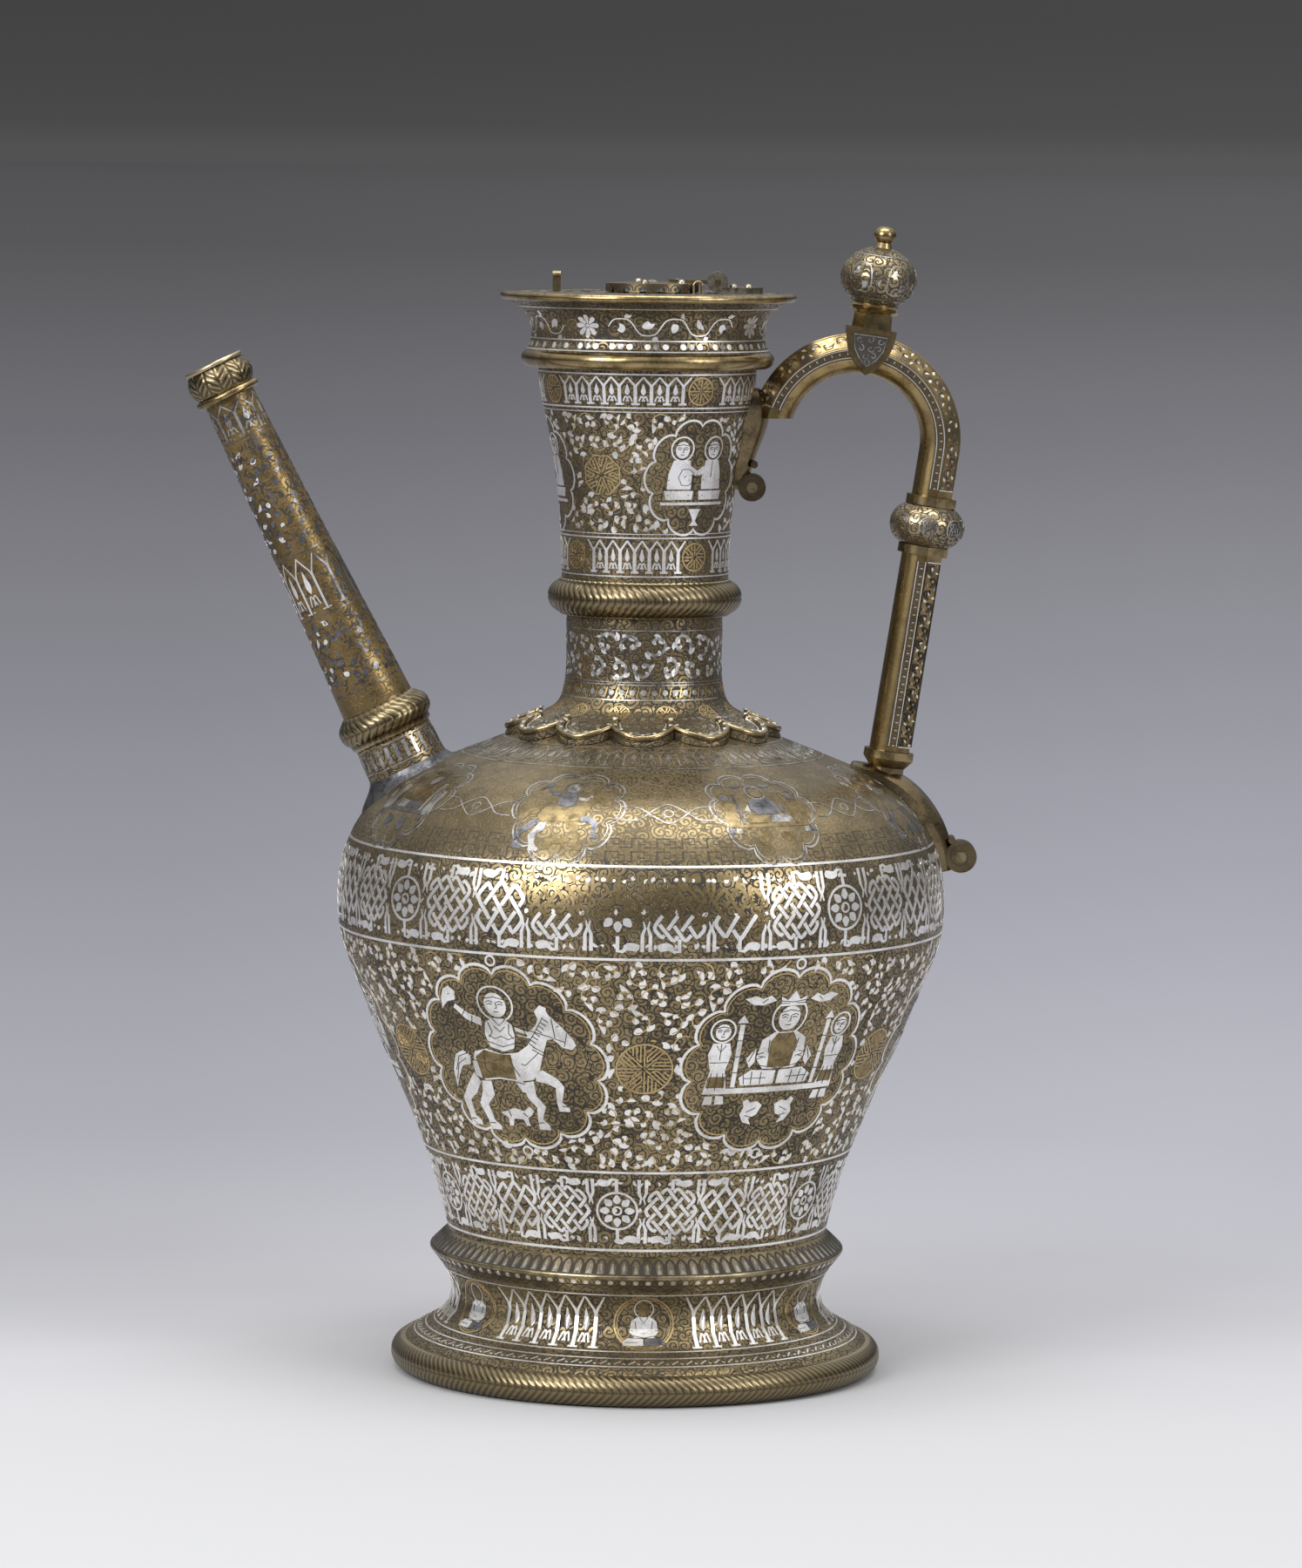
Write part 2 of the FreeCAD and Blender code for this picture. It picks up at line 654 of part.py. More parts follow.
# Hinge staples: a bent wire standing on the plate at each end of the hinge
leg_x = pin_x - staple_reach
far_leg_x = leg_x - staple_span
bend_height = plate_top + staple_height - staple_wire_radius - staple_span / 2
bend_top = at((leg_x + far_leg_x) / 2, bend_height + staple_span / 2)
staple_path = Part.Wire([
    line((leg_x, plate_top), (leg_x, bend_height)),
    Part.Arc(at(leg_x, bend_height), bend_top, at(far_leg_x, bend_height)).toShape(),
    line((far_leg_x, bend_height), (far_leg_x, plate_top)),
])
wire_end = Part.Wire([Part.makeCircle(staple_wire_radius, at(leg_x, plate_top), Vector(0, 0, 1))])
staple = staple_path.makePipeShell([wire_end], True, False)
staples = [staple.translated(Vector(0, side * staple_offset, 0)) for side in (-1, 1)]
save(Part.makeCompound(staples), "hinge_staples")

# Catch hook
hook_bend = plate_top + catch_height
hook_outer = catch_curl_radius
hook_inner = catch_curl_radius - catch_thickness
hook_x = -catch_offset - catch_width / 2
hook_strip = Part.makeBox(catch_width, catch_thickness, catch_height, at(hook_x, plate_top))
curl_centre = Vector(hook_x, catch_thickness - hook_outer, hook_bend)
curl = rod(hook_outer, catch_width, curl_centre, Vector(1, 0, 0))
curl = curl.cut(rod(hook_inner, catch_width, curl_centre, Vector(1, 0, 0)))
below = Part.makeBox(catch_width + 2 * overrun, 2 * hook_outer, 2 * hook_outer,
                     curl_centre + Vector(-overrun, -hook_outer, -2 * hook_outer))
save(largest(hook_strip.fuse(curl.cut(below))), "catch_hook")

# Spout socket and the solder round its foot
socket_top = -spout_ring_drop
socket_middle = (socket_base + socket_top) / 2
socket_outline = smooth([
    (socket_top_radius + socket_flare, socket_base),
    (socket_top_radius + socket_flare / 3, socket_middle),
    (socket_top_radius, socket_top),
])
socket_core = on_spout(turn(close_to_axis(
    [socket_outline.toShape()],
    (socket_top_radius + socket_flare, socket_base),
    (socket_top_radius, socket_top),
)))
save(largest(socket_core.cut(spout_way).cut(body_core)), "spout_socket")
solder_top = -socket_length + solder_height
solder_edge = socket_top_radius + socket_flare / 2
solder_points = [
    (solder_edge + 2 * solder_width, socket_base),
    (solder_edge + solder_width, -socket_length - solder_height / 2),
    (solder_edge + solder_width / 3, -socket_length),
    (solder_edge - solder_width / 3, solder_top),
]
save(largest(on_spout(core(solder_points)).cut(socket_core).cut(body_core)), "spout_solder")

# Spout ring
ring_bead_top = spout_ring_shoulder_share * spout_ring_rise
ring_bead_low = -spout_ring_shoulder_share * spout_ring_drop
ring_low_step = (spout_ring_shoulder_radius, -spout_ring_bead_share * spout_ring_drop)
spout_ring = turn([arc(
    (spout_ring_shoulder_radius, ring_bead_low),
    (spout_ring_radius, (ring_bead_top + ring_bead_low) / 2),
    (spout_ring_shoulder_radius, ring_bead_top),
)] + chain([
    (spout_ring_shoulder_radius, ring_bead_top),
    ((spout_ring_shoulder_radius + tube_base_radius) / 2, spout_ring_bead_share * spout_ring_rise),
    (tube_base_radius, spout_ring_rise),
    (socket_bore_radius, spout_ring_rise),
    (socket_bore_radius, -spout_ring_drop),
    (socket_top_radius, -spout_ring_drop),
    ring_low_step,
    (spout_ring_shoulder_radius, ring_bead_low),
]))
save(on_spout(spout_ring), "spout_ring")

# Spout tube
tube_top = spout_ring_rise + tube_length
tube = sheet([
    (tube_base_radius, spout_ring_rise),
    (tube_middle_radius, spout_ring_rise + tube_middle_share * tube_length),
    (tube_tip_radius, tube_top),
], tube_wall)
save(on_spout(tube), "spout_tube")

# Spout mouth: a round ring, then a bulb with a thin lip
tube_bore = tube_tip_radius - tube_wall
mouth_ring_top = tube_top + mouth_ring_height
mouth_ring_edge = mouth_ring_radius - mouth_ring_height / 2
mouth_ring_middle = (mouth_ring_radius, tube_top + mouth_ring_height / 2)
mouth_ring_head = (mouth_ring_edge, mouth_ring_top)
mouth_ring = turn([arc((mouth_ring_edge, tube_top), mouth_ring_middle, mouth_ring_head)] + chain([
    mouth_ring_head,
    (tube_bore, mouth_ring_top),
    (tube_bore, tube_top),
    (mouth_ring_edge, tube_top),
]))
save(on_spout(mouth_ring), "spout_mouth_ring")
bulb_top = mouth_ring_top + bulb_height
lip_top = bulb_top + spout_lip_height
bulb_middle = (mouth_ring_top + bulb_top) / 2
bulb = turn([
    arc((bulb_end_radius, mouth_ring_top), (bulb_radius, bulb_middle), (bulb_neck_radius, bulb_top)),
    arc((spout_mouth_radius, lip_top), (bulb_throat_radius, bulb_top), (tube_bore, mouth_ring_top)),
    line((tube_bore, mouth_ring_top), (bulb_end_radius, mouth_ring_top)),
] + chain([
    (bulb_neck_radius, bulb_top),
    (spout_lip_radius, bulb_top),
    (spout_lip_radius, lip_top),
    (spout_mouth_radius, lip_top),
]))
save(on_spout(bulb), "spout_mouth")

# Handle bar: its section, square to the bar, with the outer face away from the arch's middle
half_depth = bar_depth / 2
half_width = bar_width / 2
arch_middle = at(arch_centre_radius, cup_top - arch_drop)
shaft_foot_radius = shaft_foot_share * body_radius
shaft_foot_height = height_at_radius(body_curve, shaft_foot_radius, (body_radius, widest))
to_foot = at(shaft_foot_radius, shaft_foot_height) - arch_middle
leg_length = math.sqrt(to_foot.Length ** 2 - arch_radius ** 2)
shaft_lean = math.degrees(math.atan2(arch_radius, leg_length) - math.atan2(to_foot.x, -to_foot.z))
leg_turn = Rotation(Vector(0, 1, 0), shaft_lean)
leg_out = leg_turn.multVec(Vector(1, 0, 0))
leg_down = leg_turn.multVec(Vector(0, 0, -1))
leg_start = arch_middle + leg_out * arch_radius


def bar_section(start, grow):
    """The bar's section at a point, grown outwards by a given amount."""
    def spot(out, across):
        return start + leg_out * out + Vector(0, across, 0)
    side = half_width + grow
    outer_flat = bar_flat_outer_share * half_depth
    inner_flat = -bar_flat_inner_share * half_depth
    face_out = half_depth + grow
    half_face = bar_face_width / 2 + grow / 2
    corners = [
        spot(inner_flat, -side),
        spot(outer_flat, -side),
        spot(face_out, -half_face),
        spot(face_out, half_face),
        spot(outer_flat, side),
        spot(inner_flat, side),
    ]
    edges = [Part.makeLine(first, second) for first, second in zip(corners, corners[1:])]
    edges.append(Part.Arc(corners[-1], spot(-half_depth - grow, 0), corners[0]).toShape())
    return Part.Face(Part.Wire(edges))


def bar_run(first, last, grow=0):
    """A straight run of the bar, between two distances down the leg."""
    return bar_section(leg_start + leg_down * first, grow).extrude(leg_down * (last - first))


def on_leg(solid, distance):
    """Move a piece turned about Z onto the bar's middle line, with its top at a distance down the leg."""
    solid.Placement = Placement(leg_start + leg_down * distance, leg_turn)
    return solid


# Bracket and leaf: tongues that lie on a turned surface and end in a scroll
def tongue(curve, heights, half_widths, thicknesses):
    """A crowned tongue along an outline, seated on its surface."""
    sections = []
    for height, side, thickness in zip(heights, half_widths, thicknesses):
        foot_point, normal = place_at_height(curve, height)
        low = foot_point - normal * tongue_sink
        edge = foot_point + normal * thickness * tongue_edge_share
        left, right = Vector(0, -side, 0), Vector(0, side, 0)
        sections.append(Part.Wire([
            Part.makeLine(low + left, edge + left),
            Part.Arc(edge + left, foot_point + normal * thickness, edge + right).toShape(),
            Part.makeLine(edge + right, low + right),
            Part.makeLine(low + right, low + left),
        ]))
    return Part.makeLoft(sections, True)


def scroll(curve, height, stand, radius):
    """The place of a scroll's axis, and its drum, across the tongue's end."""
    foot_point, normal = place_at_height(curve, height)
    centre = foot_point + normal * stand
    drum = rod(radius, 2 * scroll_half_width, centre - Vector(0, scroll_half_width, 0), Vector(0, 1, 0))
    return centre, drum


def cross_pin(centre):
    """The pin whose domed ends show as the eyes of a scroll."""
    reach = scroll_half_width + scroll_pin_head
    return rod(scroll_pin_radius, 2 * reach, centre - Vector(0, reach, 0), Vector(0, 1, 0))


def bead(curve, height, stand):
    """The small bead above a scroll."""
    foot_point, normal = place_at_height(curve, height)
    start = foot_point + normal * stand - Vector(0, scroll_half_width, 0)
    return rod(scroll_bead_radius, 2 * scroll_half_width, start, Vector(0, 1, 0))


bracket_heights = [cup_top - drop for drop in bracket_drops]
bracket = tongue(cup_curve, bracket_heights, bracket_half_widths, bracket_thicknesses)
bracket_scroll_height = cup_top - bracket_scroll_drop
bracket_eye, bracket_drum = scroll(cup_curve, bracket_scroll_height, bracket_scroll_stand,
                                   bracket_scroll_radius)
bracket_pin = cross_pin(bracket_eye)
bracket_bead = bead(cup_curve, cup_top - bracket_bead_drop, bracket_bead_stand)
bracket = largest(bracket.fuse(bracket_drum).fuse(bracket_bead).cut(cup_core).cut(bracket_pin))
save(bracket, "handle_bracket")
save(bracket_pin, "bracket_scroll_pin")

# Arch, with its straight leg down to the knop
arch_turn = 180 + shaft_lean
arch = bar_section(leg_start, 0).revolve(arch_middle, Vector(0, -1, 0), arch_turn)
arch = arch.fuse(bar_run(0, arch_leg))
arch_side = arch_radius + bar_depth
cut_corner = arch_middle + Vector(-arch_side, -half_width - overrun, arch_foot_rise - arch_side)
arch = arch.cut(Part.makeBox(arch_side, bar_width + 2 * overrun, arch_side, cut_corner))
save(largest(arch.cut(bracket).cut(cup_core)), "handle_arch")

# Knop with a faceted band above and below it
band_end = arch_leg + knop_band_height
save(bar_run(arch_leg, band_end, band_grow), "knop_upper_band")
knop = turn([
    arc((knop_end_radius, 0), (knop_radius, -knop_height / 2), (knop_end_radius, -knop_height)),
    line((knop_end_radius, -knop_height), (0, -knop_height)),
    line((0, -knop_height), (0, 0)),
    line((0, 0), (knop_end_radius, 0)),
])
save(on_leg(knop, band_end), "handle_knop")
knop_end = band_end + knop_height
shaft_start = knop_end + knop_band_height
save(bar_run(knop_end, shaft_start, band_grow), "knop_lower_band")

# Shaft: it ends above the shoulder, where the leaf takes over
shaft_foot = leg_length - shaft_root_height
shaft_taper_start = shaft_foot - shaft_band_taper
shaft_end = shaft_taper_start - shaft_band_height
save(bar_run(shaft_start, shaft_end), "handle_shaft")
taper_top = bar_section(leg_start + leg_down * shaft_taper_start, band_grow).OuterWire
taper_end = bar_section(leg_start + leg_down * shaft_foot, -shaft_root_shrink).OuterWire
taper = Part.makeLoft([taper_top, taper_end], True)
save(largest(bar_run(shaft_end, shaft_taper_start, band_grow).fuse(taper)), "shaft_band")

# Leaf
leaf = tongue(body_curve, [widest + rise for rise in leaf_rises], leaf_half_widths, leaf_thicknesses)
leaf_scroll_height = widest + leaf_scroll_rise
leaf_eye, leaf_drum = scroll(body_curve, leaf_scroll_height, leaf_scroll_stand, leaf_scroll_radius)
leaf_pin = cross_pin(leaf_eye)
leaf_bead = bead(body_curve, widest + leaf_bead_rise, leaf_bead_stand)
leaf_root = bar_run(shaft_foot, leg_length + tongue_sink, -shaft_root_shrink)
leaf = leaf.fuse(leaf_root).fuse(leaf_drum).fuse(leaf_bead).cut(body_core).cut(leaf_pin)
above = bar_run(shaft_end - knop_height, shaft_foot, bar_width)
save(largest(leaf.cut(above)), "handle_leaf")
save(leaf_pin, "leaf_scroll_pin")

# Shield saddle over the arch
finial_turn = Rotation(Vector(0, 1, 0), finial_lean)
finial_frame = Placement(arch_middle, finial_turn)
shield_top = arch_radius + shield_top_rise
shield_height = shield_top_rise + shield_drop


def shield_plate(inset, thickness):
    """A shield square to Y, drawn in from the full outline by an inset, from y = 0 towards -Y."""
    width = shield_half_width - inset
    height = shield_height - shield_point_inset_share * inset
    right = [(width * across, shield_top - inset - height * down) for across, down in shield_side_shares]
    left = [(-radius, height) for radius, height in right]
    edges = [line(left[0], right[0]), smooth(right).toShape(), smooth(left).toShape()]
    plate = Part.Face(Part.Wire(Part.__sortEdges__(edges)))
    return plate.extrude(Vector(0, -thickness, 0))


shield_front = half_width + shield_face
shield = shield_plate(0, 2 * shield_front)
shield.translate(Vector(0, shield_front, 0))
for side in (-1, 1):
    recess = shield_plate(shield_border, 2 * shield_recess)
    recess.translate(Vector(0, shield_recess + side * shield_front, 0))
    shield = shield.cut(recess)
shield.Placement = finial_frame
save(largest(shield.cut(arch)), "shield_collar")

# Finial: faceted neck, ring, onion knob and ball, in a stack
neck_facets = []
for level, size_share in ((0, 1.0), (finial_neck_height, finial_neck_taper_share)):
    corner_radius = size_share * finial_neck_radius
    ring_points = []
    for number in range(finial_neck_sides + 1):
        facing = Rotation(Vector(0, 0, 1), 360 * (number + 0.5) / finial_neck_sides)
        ring_points.append(facing.multVec(Vector(corner_radius, 0, 0)) + at(0, shield_top + level))
    neck_facets.append(Part.makePolygon(ring_points))
finial_neck = Part.makeLoft(neck_facets, True, True)
finial_neck.Placement = finial_frame
save(finial_neck, "finial_neck")
ring_base = shield_top + finial_neck_height
ring_top = ring_base + finial_ring_height
ring_lip = finial_ring_lip_share * finial_ring_height
finial_ring = turn(chain([
    (0, ring_base),
    (finial_ring_radius - ring_lip, ring_base),
    (finial_ring_radius, ring_base + ring_lip),
    (finial_ring_radius - ring_lip, (ring_base + ring_top) / 2),
    (finial_ring_radius - ring_lip / 2, ring_top - ring_lip),
    (knob_foot_radius, ring_top),
    (0, ring_top),
    (0, ring_base),
]))
finial_ring.Placement = finial_frame
save(finial_ring, "finial_ring")
knob_top = ring_top + knob_height
knob_points = []
for height_share, out_share in knob_side_shares:
    radius = knob_foot_radius + out_share * (knob_radius - knob_foot_radius)
    knob_points.append((radius, ring_top + height_share * knob_height))
for height_share, out_share in knob_crown_shares:
    radius = knob_crown_radius + out_share * (knob_radius - knob_crown_radius)
    knob_points.append((radius, ring_top + height_share * knob_height))
knob = core(knob_points)
knob.Placement = finial_frame
save(knob, "finial_knob")
ball_base = knob_top + ball_neck_height
ball_end = ball_neck_taper_share * ball_neck_radius
ball_top = ball_base + ball_height
ball = turn([
    line((0, knob_top), (ball_neck_radius, knob_top)),
    line((ball_neck_radius, knob_top), (ball_end, ball_base)),
    arc((ball_end, ball_base), (ball_radius, ball_base + ball_height / 2), (ball_end / 2, ball_top)),
    line((ball_end / 2, ball_top), (0, ball_top)),
    line((0, ball_top), (0, knob_top)),
])
ball.Placement = finial_frame
save(ball, "finial_ball")
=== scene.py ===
import bmesh
import bpy
import math
import random
import numpy as np
from mathutils import Matrix, Vector


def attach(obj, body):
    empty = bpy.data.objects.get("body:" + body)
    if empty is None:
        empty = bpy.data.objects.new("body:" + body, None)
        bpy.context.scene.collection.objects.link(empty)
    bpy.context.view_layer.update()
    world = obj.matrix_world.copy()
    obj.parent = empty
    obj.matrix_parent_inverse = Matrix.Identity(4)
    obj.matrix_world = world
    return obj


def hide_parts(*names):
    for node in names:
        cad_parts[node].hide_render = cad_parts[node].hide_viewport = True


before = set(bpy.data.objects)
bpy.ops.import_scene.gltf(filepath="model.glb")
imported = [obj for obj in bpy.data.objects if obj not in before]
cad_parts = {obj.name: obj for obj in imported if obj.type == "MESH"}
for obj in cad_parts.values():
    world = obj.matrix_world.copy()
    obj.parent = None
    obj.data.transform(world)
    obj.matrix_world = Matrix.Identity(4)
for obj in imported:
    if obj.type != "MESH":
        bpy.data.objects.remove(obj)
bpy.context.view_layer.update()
bpy.ops.object.select_all(action="DESELECT")

# Studio: a matte floor whose colour is painted with a pool of light, white round the ewer and falling off
# to grey far behind it, and painted lighter towards the right, in a dim room with a brighter ceiling. One
# large soft lamp stands front left, a weaker one front right, and a long strip hangs over the mouth.


def feed(tree, sockets, values):
    """Set sockets to constant values, or link them."""
    for name, value in values.items():
        if isinstance(value, bpy.types.NodeSocket):
            tree.links.new(value, sockets[name])
        else:
            sockets[name].default_value = value


def add(tree, kind, inputs=None, **settings):
    """A shader node, with its settings made and its sockets set or linked."""
    made = tree.nodes.new("ShaderNode" + kind)
    for name, value in settings.items():
        setattr(made, name, value)
    feed(tree, made.inputs, inputs or {})
    return made


def calc(tree, operation, *values):
    """The result of a Math node."""
    return add(tree, "Math", dict(enumerate(values)), operation=operation).outputs[0]


def vector(tree, operation, *values):
    """The result of a VectorMath node."""
    names = (0, "Scale") if operation == "SCALE" else range(3)
    made = add(tree, "VectorMath", dict(zip(names, values)), operation=operation)
    return made.outputs["Value" if operation in ("DISTANCE", "DOT_PRODUCT") else "Vector"]


def spread(tree, value, first, last, low=0.0, high=1.0):
    """A value taken from one range to another, and held at its ends."""
    return add(tree, "MapRange", {"Value": value, "From Min": first, "From Max": last, "To Min": low,
                                  "To Max": high}).outputs[0]


def ramp(tree, factor, *stops):
    """A colour ramp with (position, red, green, blue) stops."""
    made = add(tree, "ValToRGB", {"Fac": factor})
    for number, (position, *colour) in enumerate(stops):
        spot = made.color_ramp.elements[number] if number < 2 else made.color_ramp.elements.new(position)
        spot.position = position
        spot.color = (*colour, 1)
    return made.outputs["Color"]


def new_paint(name):
    """A new material, with its node tree and its shader's sockets."""
    surface = bpy.data.materials.new(name)
    surface.use_nodes = True
    return surface, surface.node_tree, surface.node_tree.nodes["Principled BSDF"].inputs


camera_y = -2.612
left_edge, right_edge = -0.07, 0.085
floor_size, floor_drop = 400.0, -0.0005
bpy.ops.mesh.primitive_plane_add(size=floor_size, location=(0, 0, floor_drop))
floor = bpy.context.object
floor.name = "studio_floor"
floor_paint, tree, paint = new_paint("floor_paint")
place = add(tree, "TexCoord").outputs["Object"]
# Painted light: the floor's colour is a pool of light, white at this middle and falling off to grey far away.
painted_pool_middle, near_power, far_power = (0, -0.35, 0), -0.5, 2.3
distance = vector(tree, "DISTANCE", place, painted_pool_middle)
far = spread(tree, calc(tree, "LOGARITHM", distance, 10.0), near_power, far_power)
painted_falloff_greys = ramp(tree, far, *((stop, grey, grey, blue) for stop, grey, blue in (
    (0.0, 0.455, 0.467), (0.021, 0.45, 0.466), (0.046, 0.442, 0.458), (0.064, 0.405, 0.423),
    (0.086, 0.36, 0.377), (0.111, 0.328, 0.35), (0.179, 0.286, 0.314), (0.264, 0.288, 0.324),
    (0.34, 0.29, 0.328), (0.421, 0.26, 0.286), (0.471, 0.229, 0.25), (0.521, 0.193, 0.211),
    (0.588, 0.163, 0.175), (0.636, 0.141, 0.149), (0.715, 0.117, 0.121), (0.846, 0.110, 0.113),
    (1.0, 0.098, 0.101))))
sides = add(tree, "SeparateXYZ", {0: place}).outputs
ahead = calc(tree, "MAXIMUM", calc(tree, "SUBTRACT", sides["Y"], camera_y), 2.0)
# Painted light: this gain makes the floor's colour lighter towards the right.
painted_side_gain, room_gain = 0.24, 1.14
painted_side_light = spread(tree, calc(tree, "DIVIDE", sides["X"], ahead), left_edge, right_edge, 0.0, painted_side_gain)
painted_side_light = calc(tree, "MULTIPLY_ADD", spread(tree, far, 0.05, 0.121), painted_side_light, 1.0)
feed(tree, paint, {"Base Color": vector(tree, "SCALE", painted_falloff_greys, painted_side_light), "Roughness": 1.0,
                   "Specular IOR Level": 0.0})
floor.data.materials.append(floor_paint)

world = bpy.data.worlds.new("room")
bpy.context.scene.world = world
world.use_nodes = True
tree = world.node_tree
sides = add(tree, "SeparateXYZ", {0: add(tree, "TexCoord").outputs["Generated"]}).outputs
sky = ramp(tree, sides["Z"], (0.0, 0.084, 0.084, 0.086), (0.75, 0.95, 0.95, 0.96), *(
    (stop, grey, grey, grey * 1.03) for stop, grey in ((0.004, 0.067), (0.014, 0.059), (0.022, 0.055),
                                                       (0.12, 0.10))))
feed(tree, tree.nodes["Background"].inputs, {
    "Color": vector(tree, "SCALE", sky, spread(tree, sides["X"], left_edge, right_edge, 1.0, room_gain)),
    "Strength": 1.0})

aim = Vector((0, 0, 0.2))
for name, spot, size, power in (("lamp_front_left", (-1.6, -1.9, 1.5), (1.3, 1.3), 52),
                                ("lamp_front_right", (1.9, -1.5, 1.1), (0.9, 1.2), 20),
                                ("lamp_top", (0.0, -0.2, 2.1), (1.8, 0.9), 26)):
    bpy.ops.object.light_add(type="AREA", location=spot)
    lamp = bpy.context.object
    lamp.name = name
    lamp.data.shape = "RECTANGLE"
    lamp.data.size, lamp.data.size_y = size
    lamp.data.energy = power
    lamp.rotation_euler = (aim - Vector(spot)).to_track_quat("-Z", "Y").to_euler()
    lamp.visible_camera = False

camera_x, camera_height, camera_tilt, camera_roll = 0.00336, 0.46911, 84.7, 0.0129
bpy.ops.object.camera_add(location=(camera_x, camera_y, camera_height))
camera = bpy.context.object
camera.name = "photo_camera"
camera.data.sensor_fit = "AUTO"
camera.data.sensor_width = 36.0
camera.data.lens = 156.0
camera.data.clip_end = 500.0
tilt = Matrix.Rotation(math.radians(camera_tilt), 4, "X")
roll = Matrix.Rotation(camera_roll, 4, "Z")
camera.matrix_world = Matrix.Translation(camera.location) @ tilt @ roll
bpy.context.scene.camera = camera
bpy.context.scene.view_settings.view_transform = "Standard"

# Foot ring: the bead that the ewer stands on, a stout brass ring soldered under the foot.
# Its face is chased all round with a herringbone, whose ridges are worn bright and whose grooves
# are darkened by their curvature, as painted shade.


def noise(tree, place, scale, detail, roughness=0.5):
    """Cloudy noise."""
    return add(tree, "TexNoise", {"Vector": place, "Scale": scale, "Detail": detail,
                                  "Roughness": roughness}).outputs["Fac"]


def bump(tree, height, distance, strength):
    """Relief for a shader's Normal socket."""
    return add(tree, "Bump", {"Height": height, "Distance": distance, "Strength": strength}).outputs["Normal"]


def metal(name, bright, dull, roughness, blotch=0.012, marks=0.00003, metallic=1.0):
    """Worn metal: two tones in soft blotches, an uneven gloss and fine file marks."""
    surface, tree, paint = new_paint(name)
    place = add(tree, "TexCoord").outputs["Object"]
    grain = calc(tree, "MULTIPLY", noise(tree, place, 1100.0, 4.0), 0.25)
    mixed = calc(tree, "MULTIPLY_ADD", noise(tree, place, 1 / blotch, 6.0, 0.62), 0.75, grain)
    feed(tree, paint, {"Base Color": ramp(tree, mixed, (0.38, *dull), (0.56, *bright)),
                       "Roughness": calc(tree, "MULTIPLY_ADD", mixed, -0.30, roughness + 0.15),
                       "Normal": bump(tree, mixed, marks, 1.0), "Metallic": metallic})
    return surface


def select_only(piece):
    """Make one piece the active and only selected one."""
    bpy.ops.object.select_all(action="DESELECT")
    piece.select_set(True)
    bpy.context.view_layer.objects.active = piece


def lathe(name, outline, steps):
    """Spin an outline of (radius, height) points in millimetres round Z. A closed outline makes a ring."""
    mesh = bpy.data.meshes.new(name)
    corners = [(radius / 1000, 0, height / 1000) for radius, height in outline]
    mesh.from_pydata(corners, [(spot, (spot + 1) % len(corners)) for spot in range(len(corners))], [])
    piece = bpy.data.objects.new(name, mesh)
    bpy.context.scene.collection.objects.link(piece)
    select_only(piece)
    bpy.ops.object.mode_set(mode="EDIT")
    bpy.ops.mesh.select_all(action="SELECT")
    bpy.ops.mesh.spin(steps=steps, angle=2 * math.pi, center=(0, 0, 0), axis=(0, 0, 1))
    bpy.ops.mesh.select_all(action="SELECT")
    bpy.ops.mesh.remove_doubles(threshold=0.000005)
    bpy.ops.mesh.normals_make_consistent(inside=False)
    bpy.ops.object.mode_set(mode="OBJECT")
    bpy.ops.object.shade_smooth()
    return piece


def polar(piece):
    """The radii, the angles from the front and the heights of a piece's corners, in millimetres."""
    spots = np.empty(len(piece.data.vertices) * 3)
    piece.data.vertices.foreach_get("co", spots)
    spots = spots.reshape(-1, 3) * 1000
    return np.hypot(spots[:, 0], spots[:, 1]), np.arctan2(spots[:, 0], -spots[:, 1]), spots[:, 2]


def at(angle, radius, height):
    """Spots in metres from angles, radii and heights in millimetres."""
    return np.c_[radius * np.sin(angle), -radius * np.cos(angle), height] / 1000


def reshape(piece, radius, angle, height):
    """Move a piece's corners to new radii, angles and heights in millimetres."""
    piece.data.vertices.foreach_set("co", at(angle, radius, height).reshape(-1))
    piece.data.update()


def fit(piece, node, place=Matrix()):
    """Put a chased piece in its place, in the CAD part's stead."""
    piece.data.transform(place)
    piece.data.materials.append(chased_brass)
    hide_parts(node)
    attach(piece, "ewer")


def chased_ring(node, bead, under, over, steps, cuts, place=Matrix()):
    """A ring turned from its outline under, round and over a bead, which is cut with a herringbone."""
    middle, height, size, low, high, count = bead
    first, last = (math.asin((end - height) / size) for end in (low, high))
    arc = [(middle + size * math.cos(turn), height + size * math.sin(turn))
           for turn in np.linspace(first, last, count + 1)]
    piece = lathe("chased_" + node, under + arc + over, steps)
    radius, angle, level = polar(piece)
    out, up = radius - middle, level - height
    share = np.abs(np.arctan2(up, np.maximum(out, 0.001))) / (math.pi / 2)
    spine_share, edge_share, fade_share = 0.07, 0.96, 0.1
    spine, edge = np.clip(share / spine_share, 0, 1), np.clip((edge_share - share) / fade_share, 0, 1)
    chevrons, rise, depth = cuts
    wave = np.mod(chevrons * angle / (2 * math.pi) + share * rise, 1.0)
    groove = np.clip(np.abs(wave - 0.5) * 4.6 - 0.15, 0, 1) * spine
    push = -depth * (1 - groove) * edge * (out > 0) / np.maximum(np.hypot(out, up), 0.001)
    reshape(piece, radius + push * out, angle, level + push * up)
    fit(piece, node, place)


chased_brass = metal("chased_brass", (0.36, 0.29, 0.18), (0.16, 0.13, 0.08), 0.30)
tree = chased_brass.node_tree
